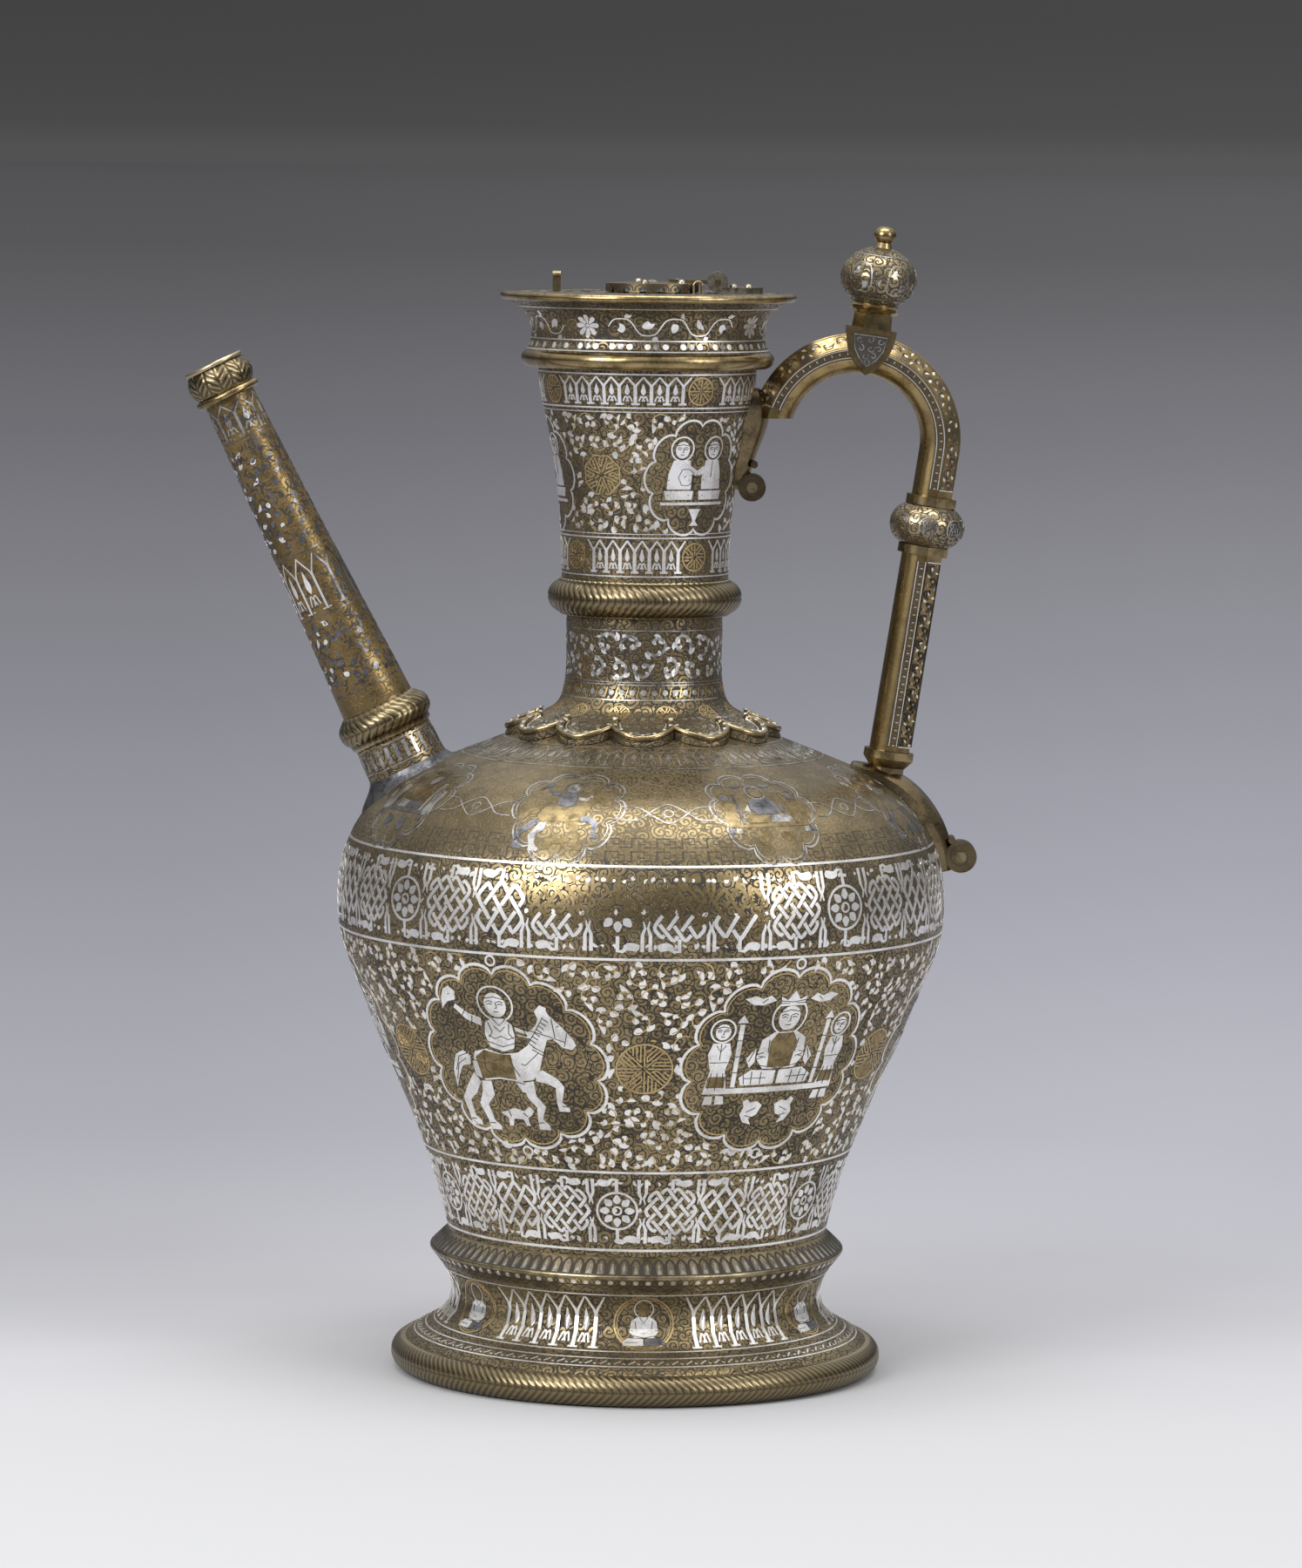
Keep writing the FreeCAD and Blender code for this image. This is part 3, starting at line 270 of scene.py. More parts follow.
# Painted shade: the colour follows the surface's curvature, near black in the grooves and lighter on the
# ridges.
curvature_shade = ramp(tree, add(tree, "NewGeometry").outputs["Pointiness"], (0.44, 0.02, 0.016, 0.010),
               (0.495, 0.105, 0.08, 0.042), (0.56, 0.46, 0.38, 0.235))
feed(tree, tree.nodes["Principled BSDF"].inputs, {"Base Color": curvature_shade})

chased_ring("foot_ring", (88.8, 5.7, 6.1, 0.0, 11.4, 22), [], [(84.0, 11.4), (84.0, 0.0)], 1600,
            (200, 2.8, 0.22))

# Foot: a hollow cove of raised brass sheet. Its waist carries an arcade of silver between gold rings, and
# a narrow plaited band runs along its edge. The ground is cut with a graver and filled with black.


def finish(names, surface):
    """Give CAD nodes their finish."""
    for name in names.split():
        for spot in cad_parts[name].material_slots:
            spot.link = "OBJECT"
            spot.material = surface


def engraved(name, bright, dull, roughness=0.34, smooth_from=None):
    """Brass cut with curling stems that are filled with black. It can be rubbed smooth from a height up."""
    surface, tree, paint = new_paint(name)
    spot = add(tree, "TexCoord").outputs
    curl_size, turns_per_mm, sway, stem_share = 4.6, 0.56, 1.4, 0.22
    scaled = vector(tree, "SCALE", spot["Object"], 1000.0)
    play = add(tree, "TexNoise", {"Vector": scaled, "Scale": 0.35, "Detail": 2.0}).outputs["Color"]
    scaled = vector(tree, "MULTIPLY_ADD", play, (sway, sway, sway), scaled)
    cell = {"Vector": scaled, "Scale": 1 / curl_size, "Randomness": 0.8}
    curls = add(tree, "TexVoronoi", cell).outputs
    rims = add(tree, "TexVoronoi", cell, feature="DISTANCE_TO_EDGE").outputs["Distance"]
    away = vector(tree, "SUBTRACT", scaled, curls["Position"])
    sideways = vector(tree, "NORMALIZE", vector(tree, "CROSS_PRODUCT", (0.05, 0.03, 1.0), spot["Normal"]))
    upward = vector(tree, "CROSS_PRODUCT", spot["Normal"], sideways)
    across, along = (vector(tree, "DOT_PRODUCT", away, side) for side in (sideways, upward))
    reach = calc(tree, "SQRT", calc(tree, "MULTIPLY_ADD", across, across,
                                    calc(tree, "MULTIPLY", along, along)))
    bearing = calc(tree, "DIVIDE", calc(tree, "ARCTAN2", along, across), 2 * math.pi)
    chance = add(tree, "SeparateColor", {0: curls["Color"]}).outputs
    hand = calc(tree, "MULTIPLY_ADD", calc(tree, "GREATER_THAN", chance[0], 0.5), 2.0, -1.0)
    start = calc(tree, "MULTIPLY_ADD", bearing, hand, chance[1])
    turns = calc(tree, "MULTIPLY_ADD", reach, turns_per_mm, start)
    stem = calc(tree, "ABSOLUTE", calc(tree, "SUBTRACT", calc(tree, "FRACT", turns), 0.5))
    wear = noise(tree, spot["Object"], 30.0, 4.0, 0.6)
    depth = spread(tree, wear, 0.36, 0.66, 0.2, 0.09)
    rim = calc(tree, "DIVIDE", rims, calc(tree, "MULTIPLY", depth, stem_share))
    raised = spread(tree, calc(tree, "SMOOTH_MIN", calc(tree, "DIVIDE", stem, depth), rim, 0.08), 0.7, 1.4)
    if smooth_from is not None:
        up = add(tree, "SeparateXYZ", {0: spot["Object"]}).outputs["Z"]
        fade, rubbed_share = 0.002, 0.55
        rubbed = spread(tree, up, smooth_from, smooth_from + fade, 0.0, rubbed_share)
        raised = calc(tree, "MAXIMUM", raised, rubbed)
        wear = calc(tree, "MULTIPLY_ADD", rubbed, -0.16, wear)
    tone = calc(tree, "MULTIPLY_ADD", noise(tree, spot["Object"], 900.0, 3.0), 0.25,
                calc(tree, "MULTIPLY", chance[2], 0.08))
    brass = ramp(tree, calc(tree, "MULTIPLY_ADD", wear, 0.67, tone), (0.38, *dull), (0.60, *bright))
    black, black_gloss = (0.024, 0.019, 0.012, 1), 0.62
    colour = add(tree, "Mix", {0: raised, 6: black, 7: brass}, data_type="RGBA").outputs[2]
    feed(tree, paint, {"Base Color": colour,
                       "Metallic": calc(tree, "MULTIPLY_ADD", raised, 0.85, 0.15),
                       "Roughness": calc(tree, "MULTIPLY_ADD", raised, roughness - black_gloss, black_gloss),
                       "Normal": bump(tree, raised, 0.00012, 0.7)})
    return surface


def smooth_outline(points, count=900):
    """The smooth curve through (radius, height) points, as many short steps."""
    points = np.array(points, float)
    knots = np.r_[0, np.cumsum(np.linalg.norm(np.diff(points, axis=0), axis=1))]
    gaps = np.diff(knots)
    last, near = len(gaps), min(4, len(points))
    rows, sums = np.zeros((last + 1, last + 1)), np.zeros((last + 1, 2))
    for spot, end in ((0, slice(near)), (last, slice(-near, None))):
        rows[spot, spot] = 1
        powers = np.vander(knots[end] - knots[spot], increasing=True)
        sums[spot] = np.linalg.solve(powers, points[end])[1]
    for spot in range(1, last):
        before, after = gaps[spot - 1], gaps[spot]
        rows[spot, spot - 1:spot + 2] = after, 2 * (before + after), before
        sums[spot] = 3 * (after * (points[spot] - points[spot - 1]) / before
                          + before * (points[spot + 1] - points[spot]) / after)
    slopes = np.linalg.solve(rows, sums)
    steps = np.linspace(0, knots[-1], count)
    part = np.clip(np.searchsorted(knots, steps, side="right") - 1, 0, last - 1)
    gap = gaps[part][:, None]
    share = (steps - knots[part])[:, None] / gap
    return ((2 * share ** 3 - 3 * share ** 2 + 1) * points[part]
            + (share ** 3 - 2 * share ** 2 + share) * gap * slopes[part]
            + (3 * share ** 2 - 2 * share ** 3) * points[part + 1]
            + (share ** 3 - share ** 2) * gap * slopes[part + 1])


def skin(curve, place=Matrix()):
    """A turned surface to lay inlay on: its outline by length from the bottom, with its outward slope."""
    curve = np.array(curve, float)
    path = np.r_[0, np.cumsum(np.linalg.norm(np.diff(curve, axis=0), axis=1))]
    slope = np.gradient(curve, path, axis=0)
    return {"path": path, "radius": curve[:, 0], "height": curve[:, 1], "out": slope[:, 1],
            "up": -slope[:, 0], "place": place}


def reach_of(surface, height):
    """The length along a surface's outline up to a height."""
    return float(np.interp(height, surface["height"], surface["path"]))


def moved(spots, place):
    """Spots carried to another place."""
    return spots @ np.array(place.to_3x3()).T + np.array(place.translation)


def wrap(surface, angle, path, lift):
    """Spots on a surface, from angles, lengths up its outline and lifts off it."""
    across, up, out, rise = (np.interp(path, surface["path"], surface[name])
                             for name in ("radius", "height", "out", "up"))
    return moved(at(angle, across + lift * out, up + lift * rise), surface["place"])


def spin(points, turn, size=1.0):
    """Flat points or (across, up, lift) corners, turned about their origin and sized."""
    c, s = math.cos(turn) * size, math.sin(turn) * size
    points = np.array(points, float)
    points[:, :2] = points[:, :2] @ [[c, s], [-s, c]]
    return points


def lay(surface, part, angle, path, turn=0.0, size=1.0, steady=False):
    """One copy of a flat part on a surface, turned and sized. A steady one keeps its width as it narrows."""
    corners = spin(part[0], turn, size)
    along = path + corners[:, 1]
    radius = np.interp(path if steady else along, surface["path"], surface["radius"])
    return wrap(surface, angle + corners[:, 0] / radius, along, corners[:, 2]), part[1]


def repeat(surface, parts, count, path, start=0.0, turn=0.0, size=1.0, steady=False):
    """Parts set at equal steps all round a surface."""
    return [lay(surface, part, start + 2 * math.pi * number / count, path, turn, size, steady)
            for number in range(count) for part in parts]


proud, sunk = 0.12, -0.2


def plate(shape, lift=proud, sink=sunk):
    """A flat plate with the given outline, which runs anticlockwise."""
    count = len(shape)
    corners = [(across, up, level) for level in (lift, sink) for across, up in shape]
    faces = [list(range(count)), list(range(2 * count - 1, count - 1, -1))]
    for spot in range(count):
        after = (spot + 1) % count
        faces.append([spot, count + spot, count + after, after])
    return np.array(corners), faces


def wire(points, width, lift=proud, sink=sunk, closed=False):
    """A flat wire along a line of points."""
    points = np.array(points, float)
    count = len(points)
    ahead = np.gradient(points, axis=0)
    if closed:
        ahead = np.roll(points, -1, axis=0) - np.roll(points, 1, axis=0)
    ahead /= np.maximum(np.linalg.norm(ahead, axis=1), 1e-9)[:, None]
    side = np.c_[-ahead[:, 1], ahead[:, 0]] * np.reshape(width, (-1, 1)) / 2
    corners = np.vstack([np.c_[edge, np.full(count, level)] for level in (lift, sink)
                         for edge in (points + side, points - side)])
    faces = []
    for spot in range(count if closed else count - 1):
        after = (spot + 1) % count
        near, past = ([row * count + end for row in range(4)] for end in (spot, after))
        faces += [[near[0], near[1], past[1], past[0]], [past[2], past[3], near[3], near[2]],
                  [near[0], past[0], past[2], near[2]], [past[1], near[1], near[3], past[3]]]
    if not closed:
        faces += [[0, 2 * count, 3 * count, count], [count - 1, 2 * count - 1, 4 * count - 1, 3 * count - 1]]
    return corners, faces


def round_shape(radius, count=10, tall=1.0):
    """The outline of a round plate."""
    turns = 2 * math.pi * np.arange(count) / count
    return np.c_[radius * np.cos(turns), tall * radius * np.sin(turns)]


def ring(radius, count, width, across=0.0, up=0.0):
    """A wire bent into a ring."""
    return wire(round_shape(radius, count) + (across, up), width, closed=True)


def hoop(surface, path, width, lift=proud, steps=240):
    """A wire laid all round a surface."""
    turn = np.linspace(0, 2 * math.pi, steps, endpoint=False)
    line, faces = wire(np.c_[turn, np.zeros(steps)], 1.0, lift, sunk, closed=True)
    rows = np.repeat([0.5, -0.5, 0.5, -0.5], steps) * width
    return wrap(surface, np.tile(turn, 4), path + rows, line[:, 2]), faces


def hoops(surface, heights, width, lift=proud, steps=240):
    """Wires laid all round a surface at several heights."""
    return [hoop(surface, reach_of(surface, height), width, lift, steps) for height in heights]


def inlay(name, parts, surface, body="ewer"):
    """One piece made of many laid parts."""
    corners, faces, total = [], [], 0
    for spots, sides in parts:
        corners.append(spots)
        faces += [[total + spot for spot in side] for side in sides]
        total += len(spots)
    mesh = bpy.data.meshes.new(name)
    mesh.from_pydata(np.vstack(corners).tolist(), [], faces)
    mesh.materials.append(surface)
    piece = bpy.data.objects.new(name, mesh)
    bpy.context.scene.collection.objects.link(piece)
    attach(piece, body)
    return piece


def rounded(points, steps=3, closed=True):
    """A rounded line through points."""
    points = np.array(points, float)
    padded = np.pad(points, ((1, 2 if closed else 1), (0, 0)), "wrap" if closed else "edge")
    line = [0.5 * (2 * here + (after - before) * share
                   + (2 * before - 5 * here + 4 * after - beyond) * share ** 2
                   + (3 * here - before - 3 * after + beyond) * share ** 3)
            for before, here, after, beyond in zip(padded, padded[1:], padded[2:], padded[3:])
            for share in np.arange(steps) / steps]
    return np.array(line if closed else line + [points[-1]])


engraved_brass = engraved("engraved_brass", (0.33, 0.255, 0.138), (0.165, 0.125, 0.066))
silver = metal("silver_inlay", (0.96, 0.95, 0.93), (0.62, 0.60, 0.57), 0.38, blotch=0.014, marks=0.00002)
finish("foot", engraved_brass)

foot_skin = skin(smooth_outline([(89.4, 11.4), (84.3, 15.11), (78.3, 18.53), (73.93, 22.69), (71.2, 28.03),
                                 (71.8, 33.08), (73.41, 37.09), (75.8, 41.1)]))
gold = metal("gold_inlay", (0.66, 0.50, 0.25), (0.42, 0.31, 0.145), 0.34, blotch=0.01)


def off_by(angle, turn, count):
    """How far an angle is from the nearest of several equal places."""
    pitch = 2 * math.pi / count
    return (angle - turn + pitch / 2) % pitch - pitch / 2


def close_to(turn, count, half):
    """A test for angles that lie within a half width of one of several equal places."""
    return lambda angle: abs(off_by(angle, turn, count)) < half


def arcade(surface, low, high, count, stroke=1.4, skip=lambda angle: False, start=0.0):
    """Posts that carry pointed arches, with a bud and two leaves in each bay."""
    first, last = reach_of(surface, low), reach_of(surface, high)
    tall = (last - first) * 0.94
    bay = 2 * math.pi * float(np.interp((first + last) / 2, surface["path"], surface["radius"])) / count
    base = first + (last - first) * 0.03
    arch = rounded([(0, 0.56), (0.05, 0.7), (0.24, 0.83), (0.5, 1.0)], 3, False) * (bay, tall)
    thin, thick = stroke * 0.45, stroke * 0.8
    post = [wire([(0, 0), (0, 0.3 * tall), (0, 0.6 * tall)], stroke),
            wire([(-0.26 * bay, 0.02 * tall), (0.26 * bay, 0.02 * tall)], stroke * 0.6),
            wire(arch, np.linspace(thick, thin, len(arch))),
            wire((arch * (-1, 1))[::-1], np.linspace(thin, thick, len(arch)))]
    bud = [(0.5, 0.34), (0.34, 0.46), (0.4, 0.6), (0.5, 0.76), (0.6, 0.6), (0.66, 0.46)]
    curl = rounded([(0.22, 0.12), (0.36, 0.3), (0.5, 0.22), (0.42, 0.12)], 3, False) * (bay, tall)
    fill = [plate((rounded(bud, 2) * (bay, tall))[::-1]), wire(curl, thin),
            wire((curl * (-1, 1))[::-1] + (bay, 0), thin)]
    laid = []
    for number in range(count):
        angle = start + 2 * math.pi * number / count
        if not skip(angle):
            between = [] if skip(angle + 2 * math.pi / count) else fill
            laid += [lay(surface, part, angle, base) for part in post + between]
    return laid


foot_turn, ring_count, waist_low, waist_high = math.radians(2.6), 6, 18.6, 39.6
ring_path = (reach_of(foot_skin, waist_low) + reach_of(foot_skin, waist_high)) / 2
braid = [wire([(-2.2, -0.9), (0.2, 0.9)], 0.6), wire([(0.9, -0.5), (2.0, -0.9)], 0.6)]
braid_height, braid_count, bays = 15.4, 96, 60
inlay("foot_silver_lines", hoops(foot_skin, (waist_low, waist_high, 14.2, 16.6), 0.55)
      + repeat(foot_skin, braid, braid_count, reach_of(foot_skin, braid_height)), silver)
inlay("foot_arcade", arcade(foot_skin, waist_low + 0.4, waist_high - 0.4, bays, 1.5,
                            close_to(foot_turn, ring_count, 0.19)), silver)
inlay("foot_rings", repeat(foot_skin, [ring(11.2, 40, 0.6), ring(10.2, 40, 0.3)], ring_count, ring_path,
                           foot_turn), gold)

# Flange: a cast ring with a sharp ridge that joins the foot to the body. Its upper slope is cut with a row
# of tongues, the ridge is polished, and small silver dots stand in lozenges below it.
turned_brass = metal("turned_brass", (0.33, 0.27, 0.16), (0.11, 0.087, 0.05), 0.29, blotch=0.009)
finish("foot_flange base_disc", turned_brass)
tarnished_silver = metal("tarnished_silver", (0.46, 0.45, 0.43), (0.09, 0.09, 0.095), 0.40, blotch=0.006)
filling = metal("black_filling", (0.035, 0.028, 0.02), (0.02, 0.016, 0.012), 0.5, metallic=0.0)
upper_slope = skin([(80.6, 47.08), (73.2, 54.1)])
lower_slope = skin([(75.8, 41.1), (80.6, 47.08)])
tongue = [(-1.75, -3.6), (-1.75, 1.2), (-0.9, 3.0), (0, 3.7), (0.9, 3.0), (1.75, 1.2), (1.75, -3.6)]
tongue_count, tongue_path, dot_count, dot_path = 110, reach_of(upper_slope, 50.6), 104, 4.9
flush = 0.05
cuts = repeat(upper_slope, [wire(tongue, 0.95, flush), wire([(0, -3.4), (0, 1.8)], [1.3, 0.3], flush)],
              tongue_count, tongue_path)
cuts += repeat(lower_slope, [wire([(-2.3, -1.0), (0, 1.0), (2.3, -1.0)], 0.5, flush)], dot_count, 1.8)
cuts += repeat(lower_slope, [wire([(-1.0, 0), (0, 1.7), (1.0, 0), (0, -1.7)], 0.4, flush, closed=True)],
               dot_count, dot_path, math.pi / dot_count)
cuts += [hoop(lower_slope, 3.2, 0.4, flush), hoop(upper_slope, 1.4, 0.4, flush)]
inlay("flange_cuts", cuts, filling)
inlay("flange_dots", repeat(lower_slope, [plate(round_shape(1.05, 8))], dot_count, dot_path), silver)
tooth = plate([(-0.8, -3.4), (0.8, -3.4), (0.2, 1.6), (-0.2, 1.6)], 0.1)
inlay("flange_tongues", repeat(upper_slope, [tooth], tongue_count, tongue_path), tarnished_silver)

# Body: one sheet of brass raised into a high-shouldered jar. Its whole wall is cut with scrollwork in
# bands, filled with black, and inlaid with silver wire, silver leaves, silver pictures and gold frets.
body_skin = skin(smooth_outline([
    (73.2, 54.1), (79.58, 77.5), (87.98, 100.12), (98.9, 125.08), (109.5, 151.08), (115.31, 166.55),
    (117.2, 184.1), (114.59, 201.11), (105.5, 217.63), (93.03, 228.48), (77.96, 235.69), (58.26, 243.39),
    (33.0, 254.1)]))
finish("body_shell", engraved("body_brass", (0.345, 0.27, 0.15), (0.165, 0.127, 0.068), 0.31,
                              smooth_from=0.2074))
inlay("body_silver_lines", hoops(body_skin, (56.6, 87.6, 172.2, 206.4), 0.95), silver)

# Medallions of the main band: lobed frames of silver wire, looped to the lines above and below, with
# horsemen and enthroned rulers by turns. Keyed gold frets stand between them in a field of scrolls.
empty_grooves = metal("empty_grooves", (0.27, 0.205, 0.105), (0.12, 0.09, 0.045), 0.34, blotch=0.004)
leaf_shapes = [
    rounded([(-1.9, -0.5), (-0.4, -1.25), (1.2, -0.9), (2.1, 0.5), (0.9, 0.55), (0.1, 1.35), (-1.0, 0.9)], 2),
    rounded([(-1.5, 0.1), (-0.2, -1.2), (1.4, -0.7), (1.2, 0.9), (-0.1, 1.1)], 2),
    rounded([(-2.0, -0.1), (0.0, -0.7), (2.2, -0.9), (1.2, 0.4), (0.2, 1.0), (-0.7, 0.7)], 2),
    rounded([(-1.0, -1.0), (0.6, -1.1), (1.3, 0.0), (0.9, 1.3), (-0.1, 0.6), (-1.2, 0.8)], 2),
]
leaf_plates = [plate(shape) for shape in leaf_shapes]
medallion_turn, medallion_reach, medallion_count = math.radians(31.3), 36.0, 6
medallion_path, fret_path = reach_of(body_skin, 131.6), reach_of(body_skin, 129.4)
fret_turn = medallion_turn + math.pi / medallion_count


def fret(radius, arms, pitch, width):
    """A roundel of arms that turn like a wheel, with straight keyed lines beside each arm."""
    parts = []
    opening = 2 * math.pi / arms
    for arm in range(arms):
        facing = opening * arm
        ahead = np.array([math.cos(facing), math.sin(facing)])
        side = np.array([-math.sin(facing), math.cos(facing)])
        parts.append(wire([ahead * 0.8 * pitch, ahead * radius], width))
        starts = []
        for number in range(1, 9):
            offset = number * pitch
            start = offset / math.tan(opening) + 0.95 * pitch
            end = math.sqrt(max(0, radius ** 2 - offset ** 2)) - 0.15 * pitch
            if end - start > 0.7 * pitch:
                parts.append(wire([ahead * start + side * offset, ahead * end + side * offset], width))
                starts.append(ahead * start + side * offset)
        for one, two in zip(starts[::2], starts[1::2]):
            parts.append(wire([one, two], width))
    return parts


def curl(middle, turns, reaches):
    """Points round a middle, at given turns and reaches."""
    return np.c_[reaches * np.cos(turns), reaches * np.sin(turns)] + middle


def scroll(hand, count, radius, first):
    """A spiral stem, and leaves along it as (leaf, place, turn, size)."""
    end = 1.8 * math.pi
    stem = np.linspace(0.3, end, 17)
    placed = []
    for number in range(count):
        spot = end * (number + 0.7) / count
        away = radius * (0.3 + 0.7 * spot / end + (0.17 if number % 2 else -0.14))
        placed.append(((first + number) % 4, curl((0, 0), hand * spot, away)[0],
                       hand * spot + (1.1 if number % 2 else 2.3), 0.85 + 0.16 * ((number * 7 + first) % 3)))
    return curl((0, 0), hand * stem, radius * (0.3 + 0.7 * stem / end)), placed


def scrolls(name, surface, low, high, pitch, skip=lambda *spot: False, leaf=1.0, stroke=0.4,
            leaf_metal=silver, seed=3, stem_metal=gold):
    """Leafy scrolls in staggered rows all round a band: the stems as one piece, the leaves as another."""
    chance = random.Random(seed)
    low, high = reach_of(surface, low), reach_of(surface, high)
    rows = max(1, round((high - low) / (pitch * 0.87)))
    kinds = [scroll(1, 5, pitch * 0.43, 0), scroll(-1, 5, pitch * 0.43, 1), scroll(1, 4, pitch * 0.36, 2),
             scroll(-1, 6, pitch * 0.48, 3)]
    stems, leaves = [], []
    for row in range(rows):
        path = low + (row + 0.5) * (high - low) / rows
        radius = float(np.interp(path, surface["path"], surface["radius"]))
        count = max(4, round(2 * math.pi * radius / pitch))
        for number in range(count):
            angle = 2 * math.pi * (number + 0.5 * (row % 2)) / count

            def bare(x, y, edge):
                """Whether a spot lies off the band or on a mark."""
                return not low + edge < path + y < high - edge or skip(angle + x / radius, path + y, radius)

            facing = chance.uniform(0, 2 * math.pi)
            line, placed = kinds[chance.randrange(4)]
            line = spin(line, facing)
            keep = [not bare(x, y, 0.4) for x, y in line]
            for run in np.split(np.arange(len(line)), np.nonzero(np.diff(keep))[0] + 1):
                if stroke and keep[run[0]] and len(run) > 2:
                    stems.append(lay(surface, wire(line[run], stroke), angle, path, steady=True))
            for shape, place, turn, size in placed:
                x, y = spin([place], facing)[0]
                if not bare(x, y, 1.3 * leaf):
                    leaves.append(lay(surface, leaf_plates[shape], angle + x / radius, path + y,
                                      turn + facing, size * leaf, steady=True))
    if stroke:
        inlay(name + "_stems", stems, stem_metal)
    inlay(name + "_leaves", leaves, leaf_metal)


def foiled(radius, lobes, depth, count=12):
    """A frame of round lobes that meet in cusps."""
    share = np.tile(np.arange(count) / count, lobes)
    angle = 2 * math.pi * (np.repeat(np.arange(lobes), count) + share) / lobes
    bulge = radius + depth * (np.sin(math.pi * share) ** 0.6 - 0.5)
    return np.c_[bulge * np.sin(angle), bulge * np.cos(angle)][::-1]


def on_marks(*marks):
    """A test for spots on repeated marks. Each mark is (turn, count, path, half width, half height)."""
    return lambda angle, path, radius: any(
        math.hypot(off_by(angle, turn, count) * radius / wide, (path - middle) / tall) < 1
        for turn, count, middle, wide, tall in marks)


loops = [ring(1.9, 14, 0.8, 0, side * (medallion_reach + 4.6)) for side in (-1, 1)]
outer = wire(foiled(medallion_reach + 1.4, 14, 4.2), 1.15, closed=True)
inner = wire(foiled(medallion_reach - 0.3, 14, 4.0), 0.4, closed=True)
inlay("medallion_frames", repeat(body_skin, [outer] + loops, medallion_count, medallion_path, medallion_turn),
      silver)
inlay("medallion_gold_lines", repeat(body_skin, [inner], medallion_count, medallion_path, medallion_turn),
      gold)
inlay("gold_frets", repeat(body_skin, fret(10.2, 8, 1.45, 0.42) + [ring(10.5, 40, 0.55)], medallion_count,
                           fret_path, fret_turn), gold)
clear, fret_clear = medallion_reach + 3.6, 12.0
scrolls("main_band", body_skin, 88.2, 171.6, 12.0, stroke=0.5, skip=on_marks(
    (medallion_turn, medallion_count, medallion_path, clear, clear),
    (fret_turn, medallion_count, fret_path, fret_clear, fret_clear)))


def figure(shape, size=1.0, lift=proud, sink=sunk):
    """A large flat plate, cut into small pieces so that it can follow a round wall."""
    step = 4.0
    form = bmesh.new()
    face = form.faces.new([form.verts.new((across * size, up * size, sink)) for across, up in shape])
    bmesh.ops.triangulate(form, faces=[face])
    for axis in (0, 1):
        low = min(vert.co[axis] for vert in form.verts)
        high = max(vert.co[axis] for vert in form.verts)
        for place in np.arange(math.ceil(low / step) * step, high, step):
            spot, facing = [0, 0, 0], [0, 0, 0]
            spot[axis], facing[axis] = place, 1
            bmesh.ops.bisect_plane(form, geom=form.verts[:] + form.edges[:] + form.faces[:], plane_co=spot,
                                   plane_no=facing)
    raised = bmesh.ops.extrude_face_region(form, geom=form.faces[:])["geom"]
    for part in raised:
        if isinstance(part, bmesh.types.BMVert):
            part.co.z = lift
    bmesh.ops.recalc_face_normals(form, faces=form.faces[:])
    form.verts.index_update()
    corners = np.array([vert.co[:] for vert in form.verts])
    faces = [[vert.index for vert in side.verts] for side in form.faces]
    form.free()
    return corners, faces


def mirrored(shape):
    """A shape turned left to right."""
    return [(-across, up) for across, up in shape][::-1]


def face_lines(across, up, size):
    """Calm brows, lids, nose, lips and a cap's edge, as lines on a round face."""
    lines = [[(-3.0, 0.9), (-1.9, 1.5), (-0.6, 1.0)], [(0.6, 1.0), (1.9, 1.5), (3.0, 0.9)],
             [(-2.7, 0.1), (-1.8, 0.45), (-0.9, 0.1)], [(0.9, 0.1), (1.8, 0.45), (2.7, 0.1)],
             [(0.3, 0.9), (0.5, -1.1), (-0.3, -1.3)], [(-0.9, -2.5), (0, -2.7), (0.9, -2.5)],
             [(-3.5, 2.2), (0, 3.0), (3.5, 2.2)]]
    return [[(across + x * size, up + y * size) for x, y in line] for line in lines]


def head(across, up, size):
    """A head with its cap as one round plate, and the ring of light round it."""
    return [figure(round_shape(3.8, 18, 1.2) * size + (across, up)),
            wire(round_shape(6.0, 26, 1.08) * size + (across, up + 0.4), 0.6, closed=True)]


horse = [
    [(-15, -3), (-13, 2), (-8, 3.5), (-2, 2), (4, 3), (8, 6), (11, 12), (13, 16.5), (15, 17.5), (15.5, 20),
     (16.8, 17.5), (20, 14), (23.5, 9.5), (24.5, 7), (23, 5.2), (20, 6), (17, 9), (15, 8.5), (13, 3),
     (11, -3), (8, -7), (2, -8), (-5, -7.5), (-11, -8.5), (-15, -7)],
    [(9, -4), (12, -3), (17, -6), (19, -9), (17.5, -15), (20, -17), (20, -18.5), (16, -18.5), (15.5, -15),
     (15.8, -9.5), (13, -8), (9, -7.4)],
    [(4, -8.4), (8, -7.4), (8, -13), (11, -17), (9, -22), (11.5, -24.5), (11.5, -26), (7, -26), (7, -22),
     (7.5, -17.5), (4.5, -14)],
    [(-13, -9), (-9, -8.7), (-9, -14), (-13, -18), (-12, -24), (-9.5, -26), (-10, -27.5), (-15, -27.5),
     (-15, -24), (-17, -18), (-14, -13)],
    [(-15.6, -6), (-13.6, -9.4), (-17, -14), (-21, -17), (-21, -23), (-18.5, -25), (-19, -26.5),
     (-24, -26.5), (-24, -23), (-24.5, -16.5), (-20, -11)],
    [(-15.4, 0), (-18, 2), (-22, 0), (-25, -6), (-26, -13), (-23, -8), (-20, -4), (-16, -3)]]
